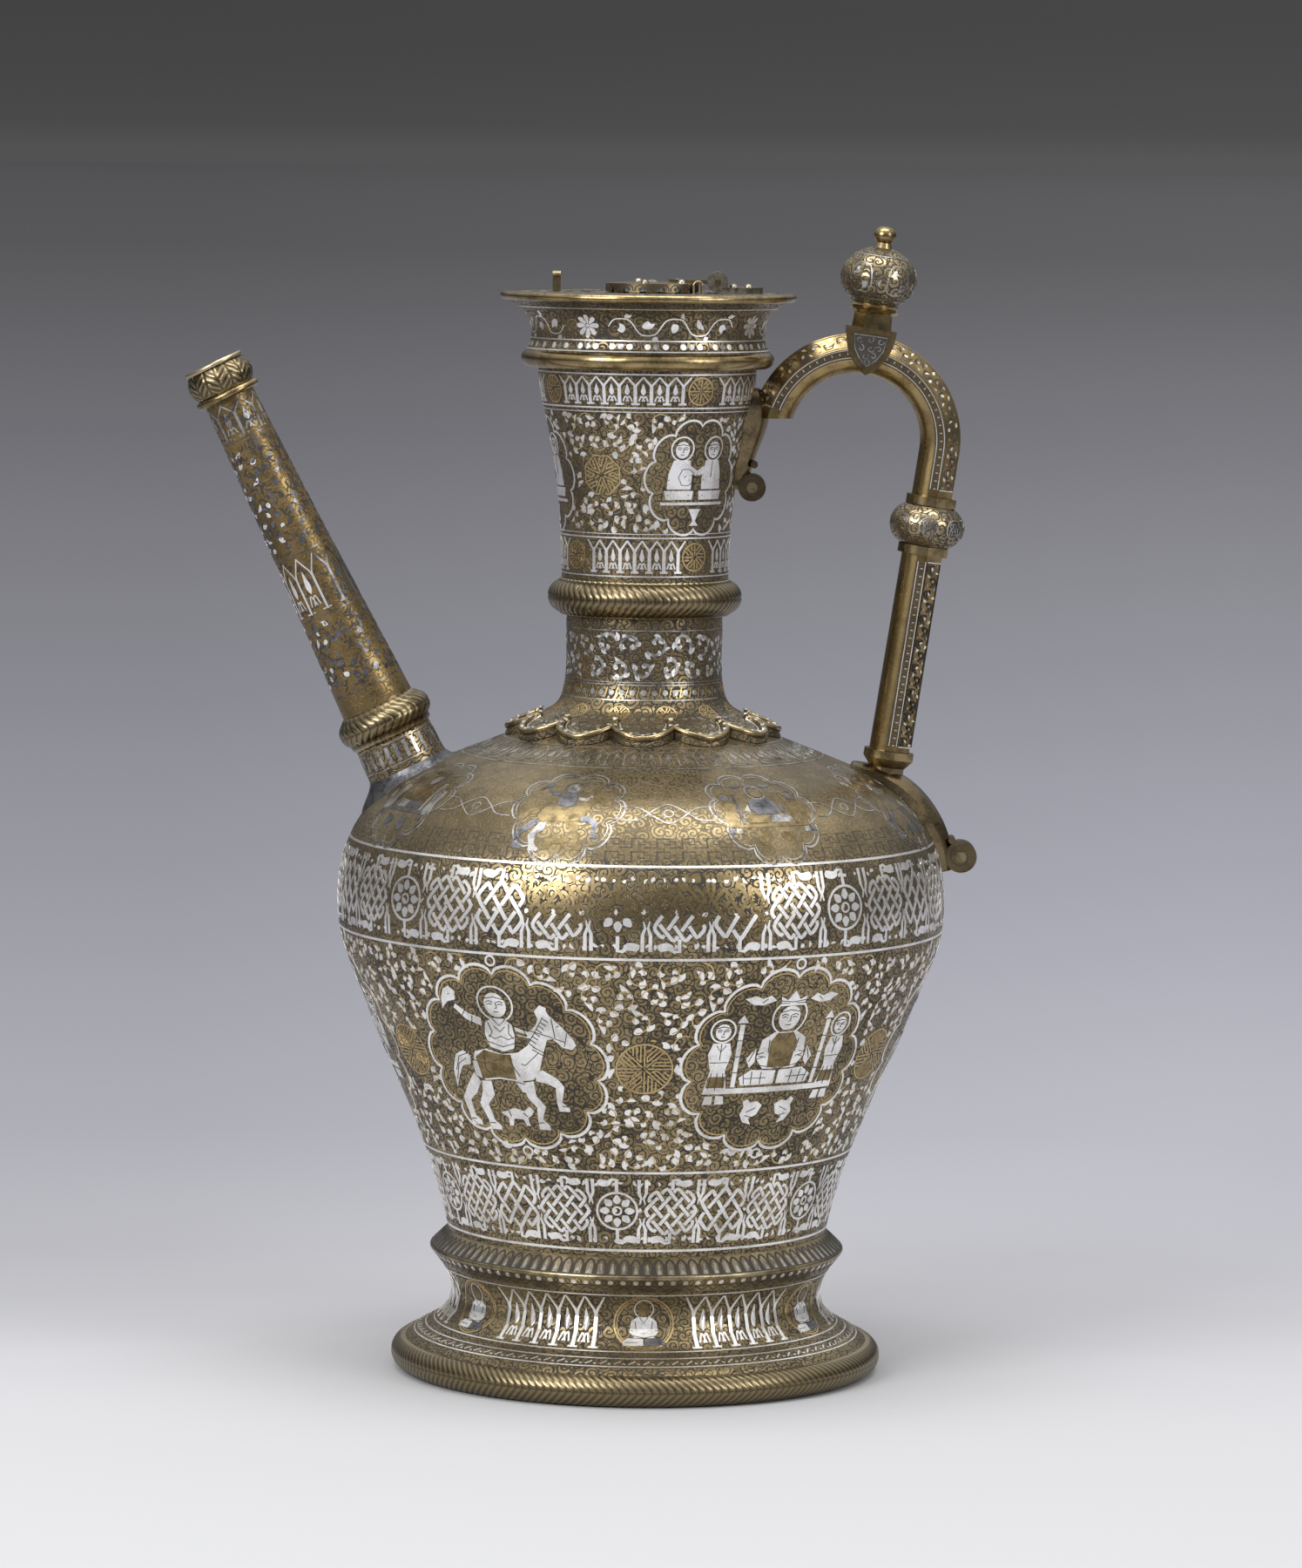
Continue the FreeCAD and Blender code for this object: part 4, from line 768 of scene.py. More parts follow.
rider = [
    [(-6, 4.4), (-7, 9), (-6, 13.4), (-3, 15.4), (1, 15.4), (3.6, 13.4), (4, 9), (3, 4.6), (-1, 3)],
    [(-3.4, 1.2), (2.4, 1.6), (5, -2), (4, -8), (8, -11), (8, -12.5), (3, -12), (1, -8), (0, -3)],
    [(4.4, 12.6), (9, 11), (12, 14), (13, 13), (10, 8.5), (4.8, 9.5)],
    [(-7.4, 12), (-13, 14), (-17, 18), (-16, 19.5), (-12, 16.5), (-7.2, 15)],
    [(13, 15.4), (12, 19), (14, 21.5), (16, 20.5), (15.7, 18.4)],
    [(-22, 17), (-19, 20), (-15.6, 21), (-15, 24), (-17, 26), (-19.5, 24.5), (-21, 21.5)],
    [(-6, -20), (-2, -18.4), (2, -19.4), (4.4, -17.4), (6, -19), (4.6, -21), (3, -22), (3.4, -25), (1.8, -25),
     (1, -22.6), (-3, -22.6), (-4, -25.4), (-5.6, -25.4), (-5.4, -22.4), (-8.4, -20.6)]]
rider_lines = [
    [(8.5, 7), (12, 12.5), (14.5, 17)], [(17.2, 16.6), (17.8, 9.4)], [(21.8, 11.4), (20.6, 6.4)],
    [(21, 8), (14, 10.4), (9.6, 11.6)], [(11.6, 3.6), (6, -1.6), (4.6, -1.2)],
    [(-15, -1), (-10, -2.2), (-3.4, 0)], [(-9, 3), (-10, -4), (-7.6, -7)],
    [(-6.4, 6.4), (-1, 4.8), (3.4, 6.4)], [(-3, 15.2), (-1, 12.6), (1.6, 15.2)],
    [(-5, 13.6), (-4, 10), (-5.6, 8)], [(2.6, 13.6), (2, 10), (3.4, 8)], [(0.6, -1), (3.2, -6)],
    [(7.4, 12), (8.2, 9.4)], [(-11, 13.2), (-10.4, 15.6)], [(18.6, 13.6), (19.3, 13.9)],
    [(-18, 22.8), (-17.4, 23)], [(-16.5, 1), (-20.5, -0.5), (-23.6, -6)],
    [(-17.6, -1), (-21.6, -3.4), (-24.6, -9.6)],
    [(7.2, -23.6), (9.4, -23.2)], [(-14.8, -25.2), (-12, -25)], [(-23.6, -24.4), (-21.2, -24.2)],
    [(17.4, -16.4), (19.6, -16.6)], [(9.4, 4.6), (13.4, 2.4)], [(9.8, 5.6), (13.8, 3.4)],
    [(-14.4, 15.2), (-12.8, 17.4)], [(-5.6, 8.8), (-3.4, 7.6), (-1, 8.8), (1.4, 7.6), (3.8, 8.8)],
    [(-3, 12.4), (-1, 10.4), (1, 12.4)], [(4.6, -8.8), (1.4, -8.2)], [(-4.6, -19.6), (-4, -21.8)],
    [(-14.6, 3), (-15.4, 0.4)], [(1.4, -20), (2.8, -21.4)]]
mane = zip(np.linspace(8.6, 14.4, 8), np.linspace(6.8, 16.4, 8))
rider_lines += [[(x, y), (x + 1.7, y - 1.3)] for x, y in mane] + face_lines(-1, 20.4, 1.0)
ruler = [
    [(-4.2, 11.6), (-8, 9), (-9, 2), (-6, -2), (6, -2), (9, 2), (8, 9), (4.2, 11.6)],
    [(-14, -5), (-10, -2.2), (-0.6, -2.8), (-0.6, -7.8), (-6, -8), (-13, -8)],
    [(0.6, -2.8), (10, -2.2), (14, -5), (13, -8), (6, -8), (0.6, -7.8)],
    [(-4, 21.4), (-4.5, 25), (-2.2, 23.6), (0, 27), (2.2, 23.6), (4.5, 25), (4, 21.4)],
    [(-19, -9), (-19, -11), (19, -11), (19, -9)], [(-16.6, -8.6), (-15, -8.6), (-15, 15), (-16.6, 15)],
    [(15, -8.6), (16.6, -8.6), (16.6, 15), (15, 15)], [(-9.6, 6), (-12.6, 2), (-11, -1.4), (-9.4, 0.6)],
    [(9.6, 6), (9.4, 0.6), (11, -1.4), (12.6, 2)], [(-17.6, 15.6), (-14, 15.6), (-15.8, 18.6)],
    [(14, 15.6), (17.6, 15.6), (15.8, 18.6)]]
bird = [(2.6, -16), (5, -14.4), (7.6, -15), (9, -13.4), (10.6, -14.4), (9.8, -16.4), (10.8, -19.4),
        (9, -22.4), (5.6, -23.4), (7, -21), (4, -19.6)]
wing = [(8, 25.6), (10.6, 24.4), (13, 25.6), (16.4, 24.6), (13.6, 22.4), (10, 22), (6, 23.6)]
attendant = [(19, 8.2), (24.6, 8.2), (26, 4), (24.6, -2), (26.4, -11), (17.8, -11), (19.4, -2), (18, 4)]
boots = [[(18.6, -11.8), (21.4, -11.8), (21.4, -15), (18, -15)],
         [(22.4, -11.8), (25.2, -11.8), (25.8, -15), (22.4, -15)]]
for side in (mirrored, list):
    ruler += [side(shape) for shape in [attendant] + boots + [bird, wing]]
ruler_lines = [[(-8.4, 3), (0, 1), (8.4, 3)], [(-2.6, 11.4), (0, 8), (2.6, 11.4)], [(-5.4, 9), (-5, 4)],
               [(5.4, 9), (5, 4)], [(-12, -5.4), (-4, -5.4)], [(4, -5.4), (12, -5.4)],
               [(-7.6, -0.6), (0, -2), (7.6, -0.6)]]
ruler_lines += [[(-4.2, 22.4), (4.2, 22.4)], [(-4.4, 23.4), (0, 22.8), (4.4, 23.4)]]
ruler_lines += face_lines(0, 16.8, 1.0)
for side in (-1, 1):
    ruler_lines += [[(side * x, y) for x, y in line] for line in (
        [(19, 1), (25, 1)], [(21.8, 8), (21.8, 2)], [(20, -3), (19.4, -9)], [(24, -3), (24.6, -9)],
        [(5, -17), (8.6, -18.6)], [(6.4, 2.6), (8.8, 1.8)], [(6.6, 4.2), (8.8, 3.6)],
        [(12.6, -3.6), (11.8, -7.6)], [(9.6, -2.8), (9.2, -7.8)], [(6, -3), (5.8, -7.8)],
        [(15, -3), (16.6, -3)], [(15, 3), (16.6, 3)], [(15, 9), (16.6, 9)], [(10, 5), (11.6, 1)],
        [(20.2, 7.4), (21.8, 5), (23.4, 7.4)], [(22, -3), (22, -9.6)], [(5.6, -20.6), (8.6, -19.8)],
        [(9, 24.4), (10.6, 23)])]
    ruler_lines += face_lines(side * 21.8, 12.4, 0.66)
saddle_cloth = [(-12.4, -8.2), (-13, 0), (-9, 3.0), (-3, 1.9), (1.2, 2.0), (1.6, -7.4), (-5, -7)]
sleeve = [(4, 11.4), (8.6, 10), (8.2, 9.2), (4.4, 9.9)]
robe = [(-4.4, -1.6), (4.4, -1.6), (5, 8), (3, 11.2), (-3, 11.2), (-5, 8)]
hems = [side([(18.8, -8.6), (25.4, -8.6), (25, -4.4), (19, -4.4)]) for side in (mirrored, list)]
large = 1.14


def enlarged(shapes, heads):
    """The plates of a picture with its heads, at the size of the main band."""
    faces = [part for place in heads for part in head(*place)]
    return [figure(shape, large) for shape in shapes] + [(spin(part[0], 0, large), part[1]) for part in faces]


riders = enlarged(horse + rider, [(-1, 20.4, 1.0)])
rulers = enlarged(ruler, [(0, 16.8, 1.0), (-21.8, 12.4, 0.66), (21.8, 12.4, 0.66)])
stroke, above_silver, above_brass = 0.3, 0.21, 0.16
drawn = [[wire(np.array(line) * large, stroke, above_silver, 0.0) for line in lines]
         for lines in (ruler_lines, rider_lines)]
brass = [[figure(shape, large, above_brass, 0.0) for shape in shapes]
         for shapes in ([robe] + hems, [saddle_cloth, sleeve])]
for name, kinds, paint, slot in (("pictures", (rulers, riders), silver, "silver_inlay"),
                                 ("drawing", drawn, filling, "black_filling"),
                                 ("brass", brass, empty_grooves, "aged_brass")):
    laid = []
    for number, parts in enumerate(kinds):
        laid += repeat(body_skin, parts, 3, medallion_path - 1.0, medallion_turn + math.pi / 3 * number,
                       steady=True)
    inlay("medallion_" + name, laid, paint)

# Seated figures in the foot's gold rings: the same ruler, smaller. Each is a few small plates of silver,
# hammered into cut beds. The robe is still bright, one knee has gone dark and the face is lost.
blackened_silver = metal("blackened_silver", (0.20, 0.20, 0.215), (0.06, 0.06, 0.066), 0.36, blotch=0.006)
seat_drop = 4.4
robe_and_sleeves, left_knee, right_knee = (figure(shape) for shape in ruler[:3])
face, light = head(0, 16.8, 1.0)
for name, parts, paint, slot in (
        ("bright_figures", [robe_and_sleeves, left_knee, light], silver, "silver_inlay"),
        ("dark_figures", [right_knee], blackened_silver, "silver_inlay"),
        ("lost_figures", [face], empty_grooves, "silver_inlay"),
        ("drawing", [wire(line, 0.45, 0.17, 0.0) for line in ruler_lines[:7]], filling, "black_filling")):
    inlay("foot_" + name, repeat(foot_skin, parts, ring_count, ring_path - seat_drop, foot_turn, size=0.6),
          paint)

# Knotted bands above and below the medallions: plaited silver knots by turns with rosettes, and between
# them posts that end in split leaves. At the front of the shoulder the upper band's silver is rubbed away.


def plait(points, width, gap):
    """A closed wire that passes over and under itself in turn, cut short on both sides of each over."""
    whole = np.vstack([points, points[:1]])
    run = np.r_[0, np.cumsum(np.linalg.norm(np.diff(whole, axis=0), axis=1))]
    step = np.diff(whole, axis=0)
    away = whole[None, :-1] - whole[:-1, None]
    cross = step[:, None, 0] * step[None, :, 1] - step[:, None, 1] * step[None, :, 0]
    level = np.abs(cross) < 1e-9
    cross = np.where(level, 1.0, cross)
    here = (away[..., 0] * step[None, :, 1] - away[..., 1] * step[None, :, 0]) / cross
    there = (away[..., 0] * step[:, None, 1] - away[..., 1] * step[:, None, 0]) / cross
    met = (here >= 0) & (here < 1) & (there >= 0) & (there < 1) & ~level
    visits = [spot for row, column in zip(*np.nonzero(met))
              if row + 1 < column < len(points) - (row == 0)
              for spot in (row + here[row, column], column + there[row, column])]
    unders = np.interp(sorted(visits)[1::2], np.arange(len(run)), run)
    half, spacing = width / 2 + gap, 0.9
    parts = []
    for low, high in zip(unders + half, np.r_[unders[1:], unders[0] + run[-1]] - half):
        steps = np.mod(np.linspace(low, high, max(2, int((high - low) / spacing) + 1)), run[-1])
        line = np.array([np.interp(steps, run, column) for column in whole.T]).T
        parts.append(wire(line, width))
    return parts


def looped(across, tall, ups, overs, count=240):
    """A closed plaited line that runs corner to corner and turns back in round loops."""
    shift, sharpness, widest = 0.011, 0.985, 1.397
    turn = np.linspace(0, 2 * math.pi, count, endpoint=False) + shift
    waves = [reach * np.arcsin(sharpness * np.sin(way * turn)) / widest
             for reach, way in ((across, ups), (tall, overs))]
    return np.array(waves).T


def disc_knot(reach, ups, overs):
    """A plaited line whose corners are drawn in to a round outline."""
    line, squareness = looped(1.0, 1.0, ups, overs), 2.6
    return reach * line * np.sqrt(1 - line[:, ::-1] ** 2 / squareness)


half_leaf = rounded([(0, 0), (1.9, 1.2), (5.0, 0.7), (6.0, 2.9), (3.1, 3.8), (0.7, 2.9)], 2)
petal = rounded([(0, 2.8), (1.5, 4.2), (0.9, 5.9), (0, 6.7), (-0.9, 5.9), (-1.5, 4.2)], 2)
large_knot = plait(disc_knot(9.6, 3, 4), 1.3, 0.42)
small_knot = plait(disc_knot(9.2, 2, 3), 1.4, 0.42) + [plate([(-1.1, 0), (0, -1.5), (1.1, 0), (0, 1.5)])]
rosette = [ring(7.6, 32, 0.9), ring(1.6, 14, 0.7)]
rosette += [plate(spin(petal, math.pi / 4 * turn)) for turn in range(8)]
for band, low, high, count, size in (("lower", 58.4, 86.0, 12, 1.0), ("upper", 174.0, 204.8, 16, 1.08)):
    first, last = reach_of(body_skin, low), reach_of(body_skin, high)
    middle, half = (first + last) / 2, (last - first) / 2 / size
    tip = half - 0.7
    posts = []
    for way in (-1, 1):
        for share, reach, hand in ((0, 8.9, way), (0.5, 7.9, -way)):
            bend = way * (tip - 0.6)
            posts.append((share, wire([(0, way * reach), (0, bend), (hand * 1.8, bend)], 1.3)))
            leaf = half_leaf * (hand, -way) + (hand * 1.6, way * (tip + 0.2))
            posts.append((share, plate(leaf if share else leaf[::-1])))
        for share, hand in ((0.235, 1), (0.285, -1), (0.7, 1), (0.765, -1)):
            posts.append((share, wire([(0, way * (half - 1.2)), (0, way * 7.6), (hand * 0.9, way * 5.2),
                                       (hand * 0.3, way * 2.8)], [1.35, 1.2, 0.9, 0.4])))
    good, lost = [], []
    for number in range(count):
        other = rosette if number % 2 else small_knot
        for share, part in posts + [(0, part) for part in large_knot] + [(0.5, part) for part in other]:
            angle = 2 * math.pi * ((number + 0.32 + share) / count % 1)
            worn = band == "upper" and abs(off_by(angle, 0, 1)) < 0.40 and np.mean(part[0][:, 1]) > -3
            (lost if worn else good).append(lay(body_skin, part, angle, middle, 0.0, size))
    inlay(band + "_band_knots", good, silver)
    if lost:
        inlay("worn_band_knots", lost, empty_grooves)
    chance = random.Random(23)
    small = []
    for number in range(count * 12):
        for row in (-0.86, 0.86, 0.0) if number % 3 == 0 else (-0.86, 0.86):
            angle = 2 * math.pi * (number + chance.uniform(0.2, 0.8)) / (count * 12)
            leaf = leaf_plates[chance.randrange(4)]
            path = middle + (row + chance.uniform(-0.06, 0.03)) * half * size * 0.93
            small.append(lay(body_skin, leaf, angle, path, chance.uniform(0, 6.3), chance.uniform(0.45, 0.7),
                             steady=True))
    inlay(band + "_band_buds", small, silver)

# Shoulder: rubbed smooth by hands. Eight lobed rings of wire, linked by crossed loops, hold the same
# pictures, smaller. Some plates are lost and the rest have gone dark. A key pattern is nearly worn away.
shoulder_foot = reach_of(body_skin, 206.4)
shoulder_path, shoulder_turn = shoulder_foot + 24.6, math.radians(-16.6)
lobed = foiled(1.0, 10, 0.16, 8)
loop = rounded([(-17.2, 3.6), (-11, 3.0), (-5.6, -1.6), (0, -5.0), (5.6, -1.6), (11, 3.0), (17.2, 3.6)],
               4, False)
worn_pictures = {tarnished_silver: [], blackened_silver: [], empty_grooves: []}
states = (empty_grooves, blackened_silver, empty_grooves, tarnished_silver, blackened_silver)
for number in range(8):
    angle = shoulder_turn + math.pi / 4 * number
    for spot, part in enumerate(rulers if number % 2 else riders):
        worn_pictures[states[(spot + number) % 5]].append(
            lay(body_skin, part, angle, shoulder_path - 0.8, size=0.6, steady=True))
for paint, parts in worn_pictures.items():
    inlay("shoulder_" + paint.name, parts, paint)
frames = [wire(lobed * (20.4, 23.4), 0.7, closed=True), wire(lobed * (18.8, 21.6), 0.35, closed=True)]
links = [wire(loop, 0.5), wire(loop * (1, -1), 0.5), ring(1.8, 12, 0.5)]
inlay("shoulder_rings", repeat(body_skin, frames, 8, shoulder_path, shoulder_turn)
      + repeat(body_skin, links, 8, shoulder_path - 1.0, shoulder_turn + math.pi / 8)
      + hoops(body_skin, (239.0, 245.2), 0.5) + arcade(body_skin, 239.6, 244.8, 58, 0.7), tarnished_silver)
key = [(-3.4, 0), (-3.4, 4.2), (1.2, 4.2), (1.2, 1.7), (-0.9, 1.7), (-0.9, 2.9)]
keys = [wire(key, 0.4, 0.04), wire([(x + 2.4, 4.6 - y) for x, y in mirrored(key)], 0.4, 0.04)]
inlay("shoulder_keys", [lay(body_skin, part, angle, shoulder_foot + rise)
                        for rise, on_ring in ((1.8, close_to(shoulder_turn, 8, 0.1)),
                                              (7.4, close_to(shoulder_turn, 8, 0.185)))
                        for angle in np.linspace(0, 2 * math.pi, 72, endpoint=False) for part in keys
                        if not on_ring(angle)], filling)

# Neck base: the lower neck and the round-lobed collar that lies on the shoulder, raised from one sheet
# and soldered down. Each lobe has a rolled rim set with silver dots, and gold frets lie between them.
finish("neck_base", engraved_brass)
neck_skin = skin(smooth_outline([
    (53.2, 246.34), (51.57, 248.48), (46.47, 251.12), (40.34, 254.03), (34.42, 257.19), (31.72, 261.03),
    (30.51, 266.03), (29.9, 273.35), (29.9, 292.6)]))
plain_brass = metal("plain_brass", (0.37, 0.295, 0.17), (0.15, 0.118, 0.066), 0.27, blotch=0.006,
                    marks=0.00006)
lobe_count, lobe_radius, lobe_centre, lobe_half_turn = 12, 12.467, 40.733, 101


def lobe_line(inset, count=25):
    """The plan of one lobe's round edge, drawn in by an inset: angles from its middle, and radii."""
    turn = np.linspace(-1, 1, count) * math.radians(lobe_half_turn - 2.4 * inset)
    reach = lobe_radius - inset
    across, out = reach * np.sin(turn), lobe_centre + reach * np.cos(turn)
    return np.arctan2(across, out), np.hypot(across, out)


def collar_height(radius):
    """The height of the collar's upper side at a radius."""
    return np.interp(-radius, -neck_skin["radius"][:520], neck_skin["height"][:520])


def rolled_rim(angle, radius, size, lift):
    """A round bead that follows angles and radii over the collar."""
    sides = 10
    line = at(angle, radius, collar_height(radius) + lift) * 1000
    ahead = np.gradient(line, axis=0)
    side = np.cross(ahead, (0, 0, 1.0))
    side, above = (way / np.linalg.norm(way, axis=1)[:, None] for way in (side, np.cross(side, ahead)))
    section = size * np.array(round_shape(1.0, sides, 0.8))
    spots = line[:, None] + section[:, :1] * side[:, None] + section[:, 1:] * above[:, None]
    last = (len(line) - 1) * sides
    faces = [[row + step, row + (step + 1) % sides, row + sides + (step + 1) % sides, row + sides + step]
             for row in range(0, last, sides) for step in range(sides)]
    faces += [list(range(sides))[::-1], list(range(last, last + sides))]
    return spots.reshape(-1, 3) / 1000, faces


rims, dots, inner_lines, lobe_leaves = [], [], [], []
flat, faces = plate(round_shape(0.85, 8), proud, -0.5)
chance = random.Random(5)
for lobe in range(lobe_count):
    middle = 2 * math.pi * lobe / lobe_count
    angle, radius = lobe_line(1.35)
    rims.append(rolled_rim(angle + middle, radius, 1.7, 0.55))
    angle, radius = lobe_line(3.6, 21)
    inner_lines.append(rolled_rim(angle + middle, radius, 0.3, 0.1))
    angle, radius = lobe_line(1.5, 9)
    dots += [(flat / 1000 + spot, faces) for spot in at(angle + middle, radius, collar_height(radius) + 1.85)]
    for height, opening, amount in ((250.2, 10.5, 4), (252.4, 9.5, 4), (255.0, 8.0, 3)):
        for spot in range(amount):
            angle = middle + math.radians(opening * ((spot + 0.5) / amount * 2 - 1))
            lobe_leaves.append(lay(neck_skin, leaf_plates[chance.randrange(4)], angle,
                                   reach_of(neck_skin, height), chance.uniform(0, 6.3), 0.72, steady=True))
rim_piece = inlay("collar_rims", rims, plain_brass)
select_only(rim_piece)
bpy.ops.object.shade_smooth()
inlay("collar_rim_dots", dots, silver)
inlay("collar_lobe_lines", inner_lines, silver)
inlay("collar_gold_frets", repeat(neck_skin, fret(3.5, 6, 1.0, 0.36) + [ring(3.8, 24, 0.4)], lobe_count,
                                  reach_of(neck_skin, 256.6), math.pi / lobe_count), gold)
inlay("collar_leaves", lobe_leaves, tarnished_silver)
bead_count, bead_path = 46, reach_of(neck_skin, 264.4)
inlay("neck_lines_and_dots", hoops(neck_skin, (261.6,), 0.5) + hoops(neck_skin, (267.3,), 0.45)
      + hoops(neck_skin, (268.3,), 0.3) + hoops(neck_skin, (288.0,), 0.35)
      + repeat(neck_skin, [plate(round_shape(1.15, 10))], bead_count, bead_path), tarnished_silver)
inlay("neck_gold_bars", repeat(neck_skin, [wire([(-0.5, -2.0), (0.5, 2.0)], 0.3)], bead_count, bead_path,
                               math.pi / bead_count), gold)
scrolls("lower_neck", neck_skin, 269.0, 287.4, 9.8, leaf=0.72, stroke=1.15, seed=7,
        stem_metal=tarnished_silver)

# Neck ring: a hollow cast moulding between the lower neck and the cup, chased with a herringbone like
# the foot ring and soldered on both sides.
chased_ring("neck_ring", (30.83, 299.5, 6.57, 293.2, 305.8, 20), [(28.3, 292.6), (32.7, 292.6)],
            [(32.7, 306.4), (28.3, 306.4)], 960, (76, 2.2, 0.27))

# Cup: the upper neck, a sheet tube that widens upwards, seamed down the back. It carries two bands of
# arcades with fretted roundels, and a field of scrolls with cusped panels and fretted octagons between them.
finish("neck_cup", engraved_brass)
cup_skin = skin(smooth_outline([(32.1, 306.4), (32.3, 318.02), (33.47, 334.89), (36.22, 355.71),
                                (39.35, 370.64), (41.21, 380.08), (41.9, 387.1)]))
inlay("cup_lines", hoops(cup_skin, (308.8,), 0.45) + hoops(cup_skin, (323.5,), 0.55)
      + hoops(cup_skin, (325.0, 371.6), 0.3) + hoops(cup_skin, (373.2, 385.9), 0.6), silver)
upper_turn, lower_turn, octagon_turn = (math.radians(turn) for turn in (29.9, 35.5, -28.9))
octagon_path = reach_of(cup_skin, 347.4)
inlay("cup_arcades", arcade(cup_skin, 374.2, 385.2, 42, 1.35, close_to(upper_turn, 4, 0.17), 0.04)
      + arcade(cup_skin, 309.8, 322.8, 36, 1.35, close_to(lower_turn, 4, 0.21), 0.05), silver)
roundel = fret(4.7, 8, 1.25, 0.42) + [ring(5.2, 28, 0.55)]
octagon = fret(7.3, 8, 1.4, 0.5) + [ring(8.0, 8, 0.6)]
inlay("cup_gold_frets", repeat(cup_skin, roundel, 4, reach_of(cup_skin, 379.6), upper_turn)
      + repeat(cup_skin, roundel, 4, reach_of(cup_skin, 316.2), lower_turn)
      + repeat(cup_skin, octagon, 3, octagon_path, octagon_turn, math.pi / 8), gold)

# Panels of the cup: cusped frames of silver wire, each with two seated players on a bench over a goblet.
# They are plates of silver let into the sheet, with their folds and faces drawn on with a graver.
panel_turn, panel_path = math.radians(33.5), reach_of(cup_skin, 346.8)
panel_line = foiled(1.0, 10, 0.14) * (19.6, 21.4)
player = [[(3.4, 6.6), (10, 6.6), (11.8, 1.4), (12.4, -4.6), (2.4, -4.6), (2.2, 0)],
          [(1.2, -5.2), (13.4, -5.2), (12.6, -8.6), (1.6, -8.6)],
          [(2.8, 4.4), (-0.6, 2.2), (0.4, 0.6), (3.0, 1.4)]]
lute = [(-3.6, 3.2), (-1.4, 1.6), (-1.4, -1.4), (-3.6, -3.2), (-6.4, -3.0), (-7.8, 0), (-6.4, 3.0)]
goblet = [(-2.8, -12.2), (-1.2, -15.2), (-0.6, -17), (-2.2, -18.6), (2.2, -18.6), (0.6, -17), (1.2, -15.2),
          (2.8, -12.2)]
bench = [(-14.6, -9.6), (-14.6, -10.7), (14.6, -10.7), (14.6, -9.6)]
faces = ((6.8, 10.6, 0.72), (-6.8, 10.6, 0.72))
pair = [figure(shape) for shape in player + [mirrored(shape) for shape in player] + [bench, goblet]]
pair += [part for face in faces for part in head(*face)]
pair_lines = [line for face in faces for line in face_lines(*face)] + [
    [(3, -1), (12, -1)], [(-12, -1), (-3, -1)], [(6.8, 6.4), (6.8, 0)], [(3, -6.8), (12, -6.8)],
    [(-12, -6.8), (-3, -6.8)], lute + lute[:1], [(-5.6, 0), (0.4, 3.4)]]
inlay("cup_panels", repeat(cup_skin, [wire(panel_line, 0.85, closed=True)], 3, panel_path, panel_turn)
      + repeat(cup_skin, pair, 3, panel_path, panel_turn, steady=True), silver)
inlay("cup_drawing", repeat(cup_skin, [wire(line, 0.28, 0.17, 0.0) for line in pair_lines], 3, panel_path,
                            panel_turn, steady=True), filling)
scrolls("cup_field", cup_skin, 325.2, 371.4, 9.6, on_marks((panel_turn, 3, panel_path, 21.4, 24.4),
                                                           (octagon_turn, 3, octagon_path, 9.3, 9.3)), 0.82)

# Cup ring and rim: cast brass rings, turned smooth and polished, that stiffen the mouth. One is soldered
# on at the cup's upper end and the other round the mouth.
polished_brass = metal("polished_brass", (0.37, 0.28, 0.14), (0.14, 0.105, 0.05), 0.24, blotch=0.008,
                       marks=0.00005)
finish("cup_ring rim_ring", polished_brass)

# Mouth collar: a flared sheet between the two rings, engraved and inlaid with silver. It has a running
# vine, four rosettes and a row of dots, of which every third has gone dark.
finish("mouth_collar", engraved_brass)
mouth_skin = skin(smooth_outline([(46.9, 393.7), (45.3, 396.6), (44.8, 401.03), (45.4, 405.09),
                                  (47.7, 408.75), (50.9, 411.26), (54.8, 413.0)]))
rosette_turn = math.radians(-30.4)
dot, dot_path = plate(round_shape(1.2, 10)), reach_of(mouth_skin, 396.4)
petal = rounded([(1.1, -0.35), (3.2, -0.95), (4.6, -0.6), (4.6, 0.6), (3.2, 0.95), (1.1, 0.35)], 2)
rosette = [plate(spin(petal, 2 * math.pi * turn / 8)) for turn in range(8)] + [plate(round_shape(0.75, 8))]
vine, vine_count, vine_path = [], 28, reach_of(mouth_skin, 404.0)
bay = 2 * math.pi * 45.2 / vine_count
for number in range(vine_count):
    angle = 2 * math.pi * number / vine_count
    if not close_to(rosette_turn, 4, 0.17)(angle):
        hand = 1 if number % 2 else -1
        arc = rounded([(-bay / 2, 0), (-bay / 4, hand * 3.0), (bay / 4, hand * 3.0), (bay / 2, 0)], 4, False)
        large_leaf, small_leaf = leaf_plates[number % 4], leaf_plates[(number + 1) % 4]
        vine += [lay(mouth_skin, wire(arc, 0.5), angle, vine_path),
                 lay(mouth_skin, large_leaf, angle, vine_path - hand * 0.6, 1.2 * number, 1.25, steady=True),
                 lay(mouth_skin, small_leaf, angle + 0.06, vine_path + hand * 4.6, 2.1 * number, 0.8,
                     steady=True)]
inlay("mouth_dark_dots", repeat(mouth_skin, [dot], 21, dot_path, math.pi / 42), tarnished_silver)
inlay("mouth_silver", hoops(mouth_skin, (394.5, 398.6, 410.6), 0.5) + repeat(mouth_skin, [dot], 42, dot_path)
      + repeat(mouth_skin, rosette, 4, reach_of(mouth_skin, 404.2), rosette_turn) + vine, silver)

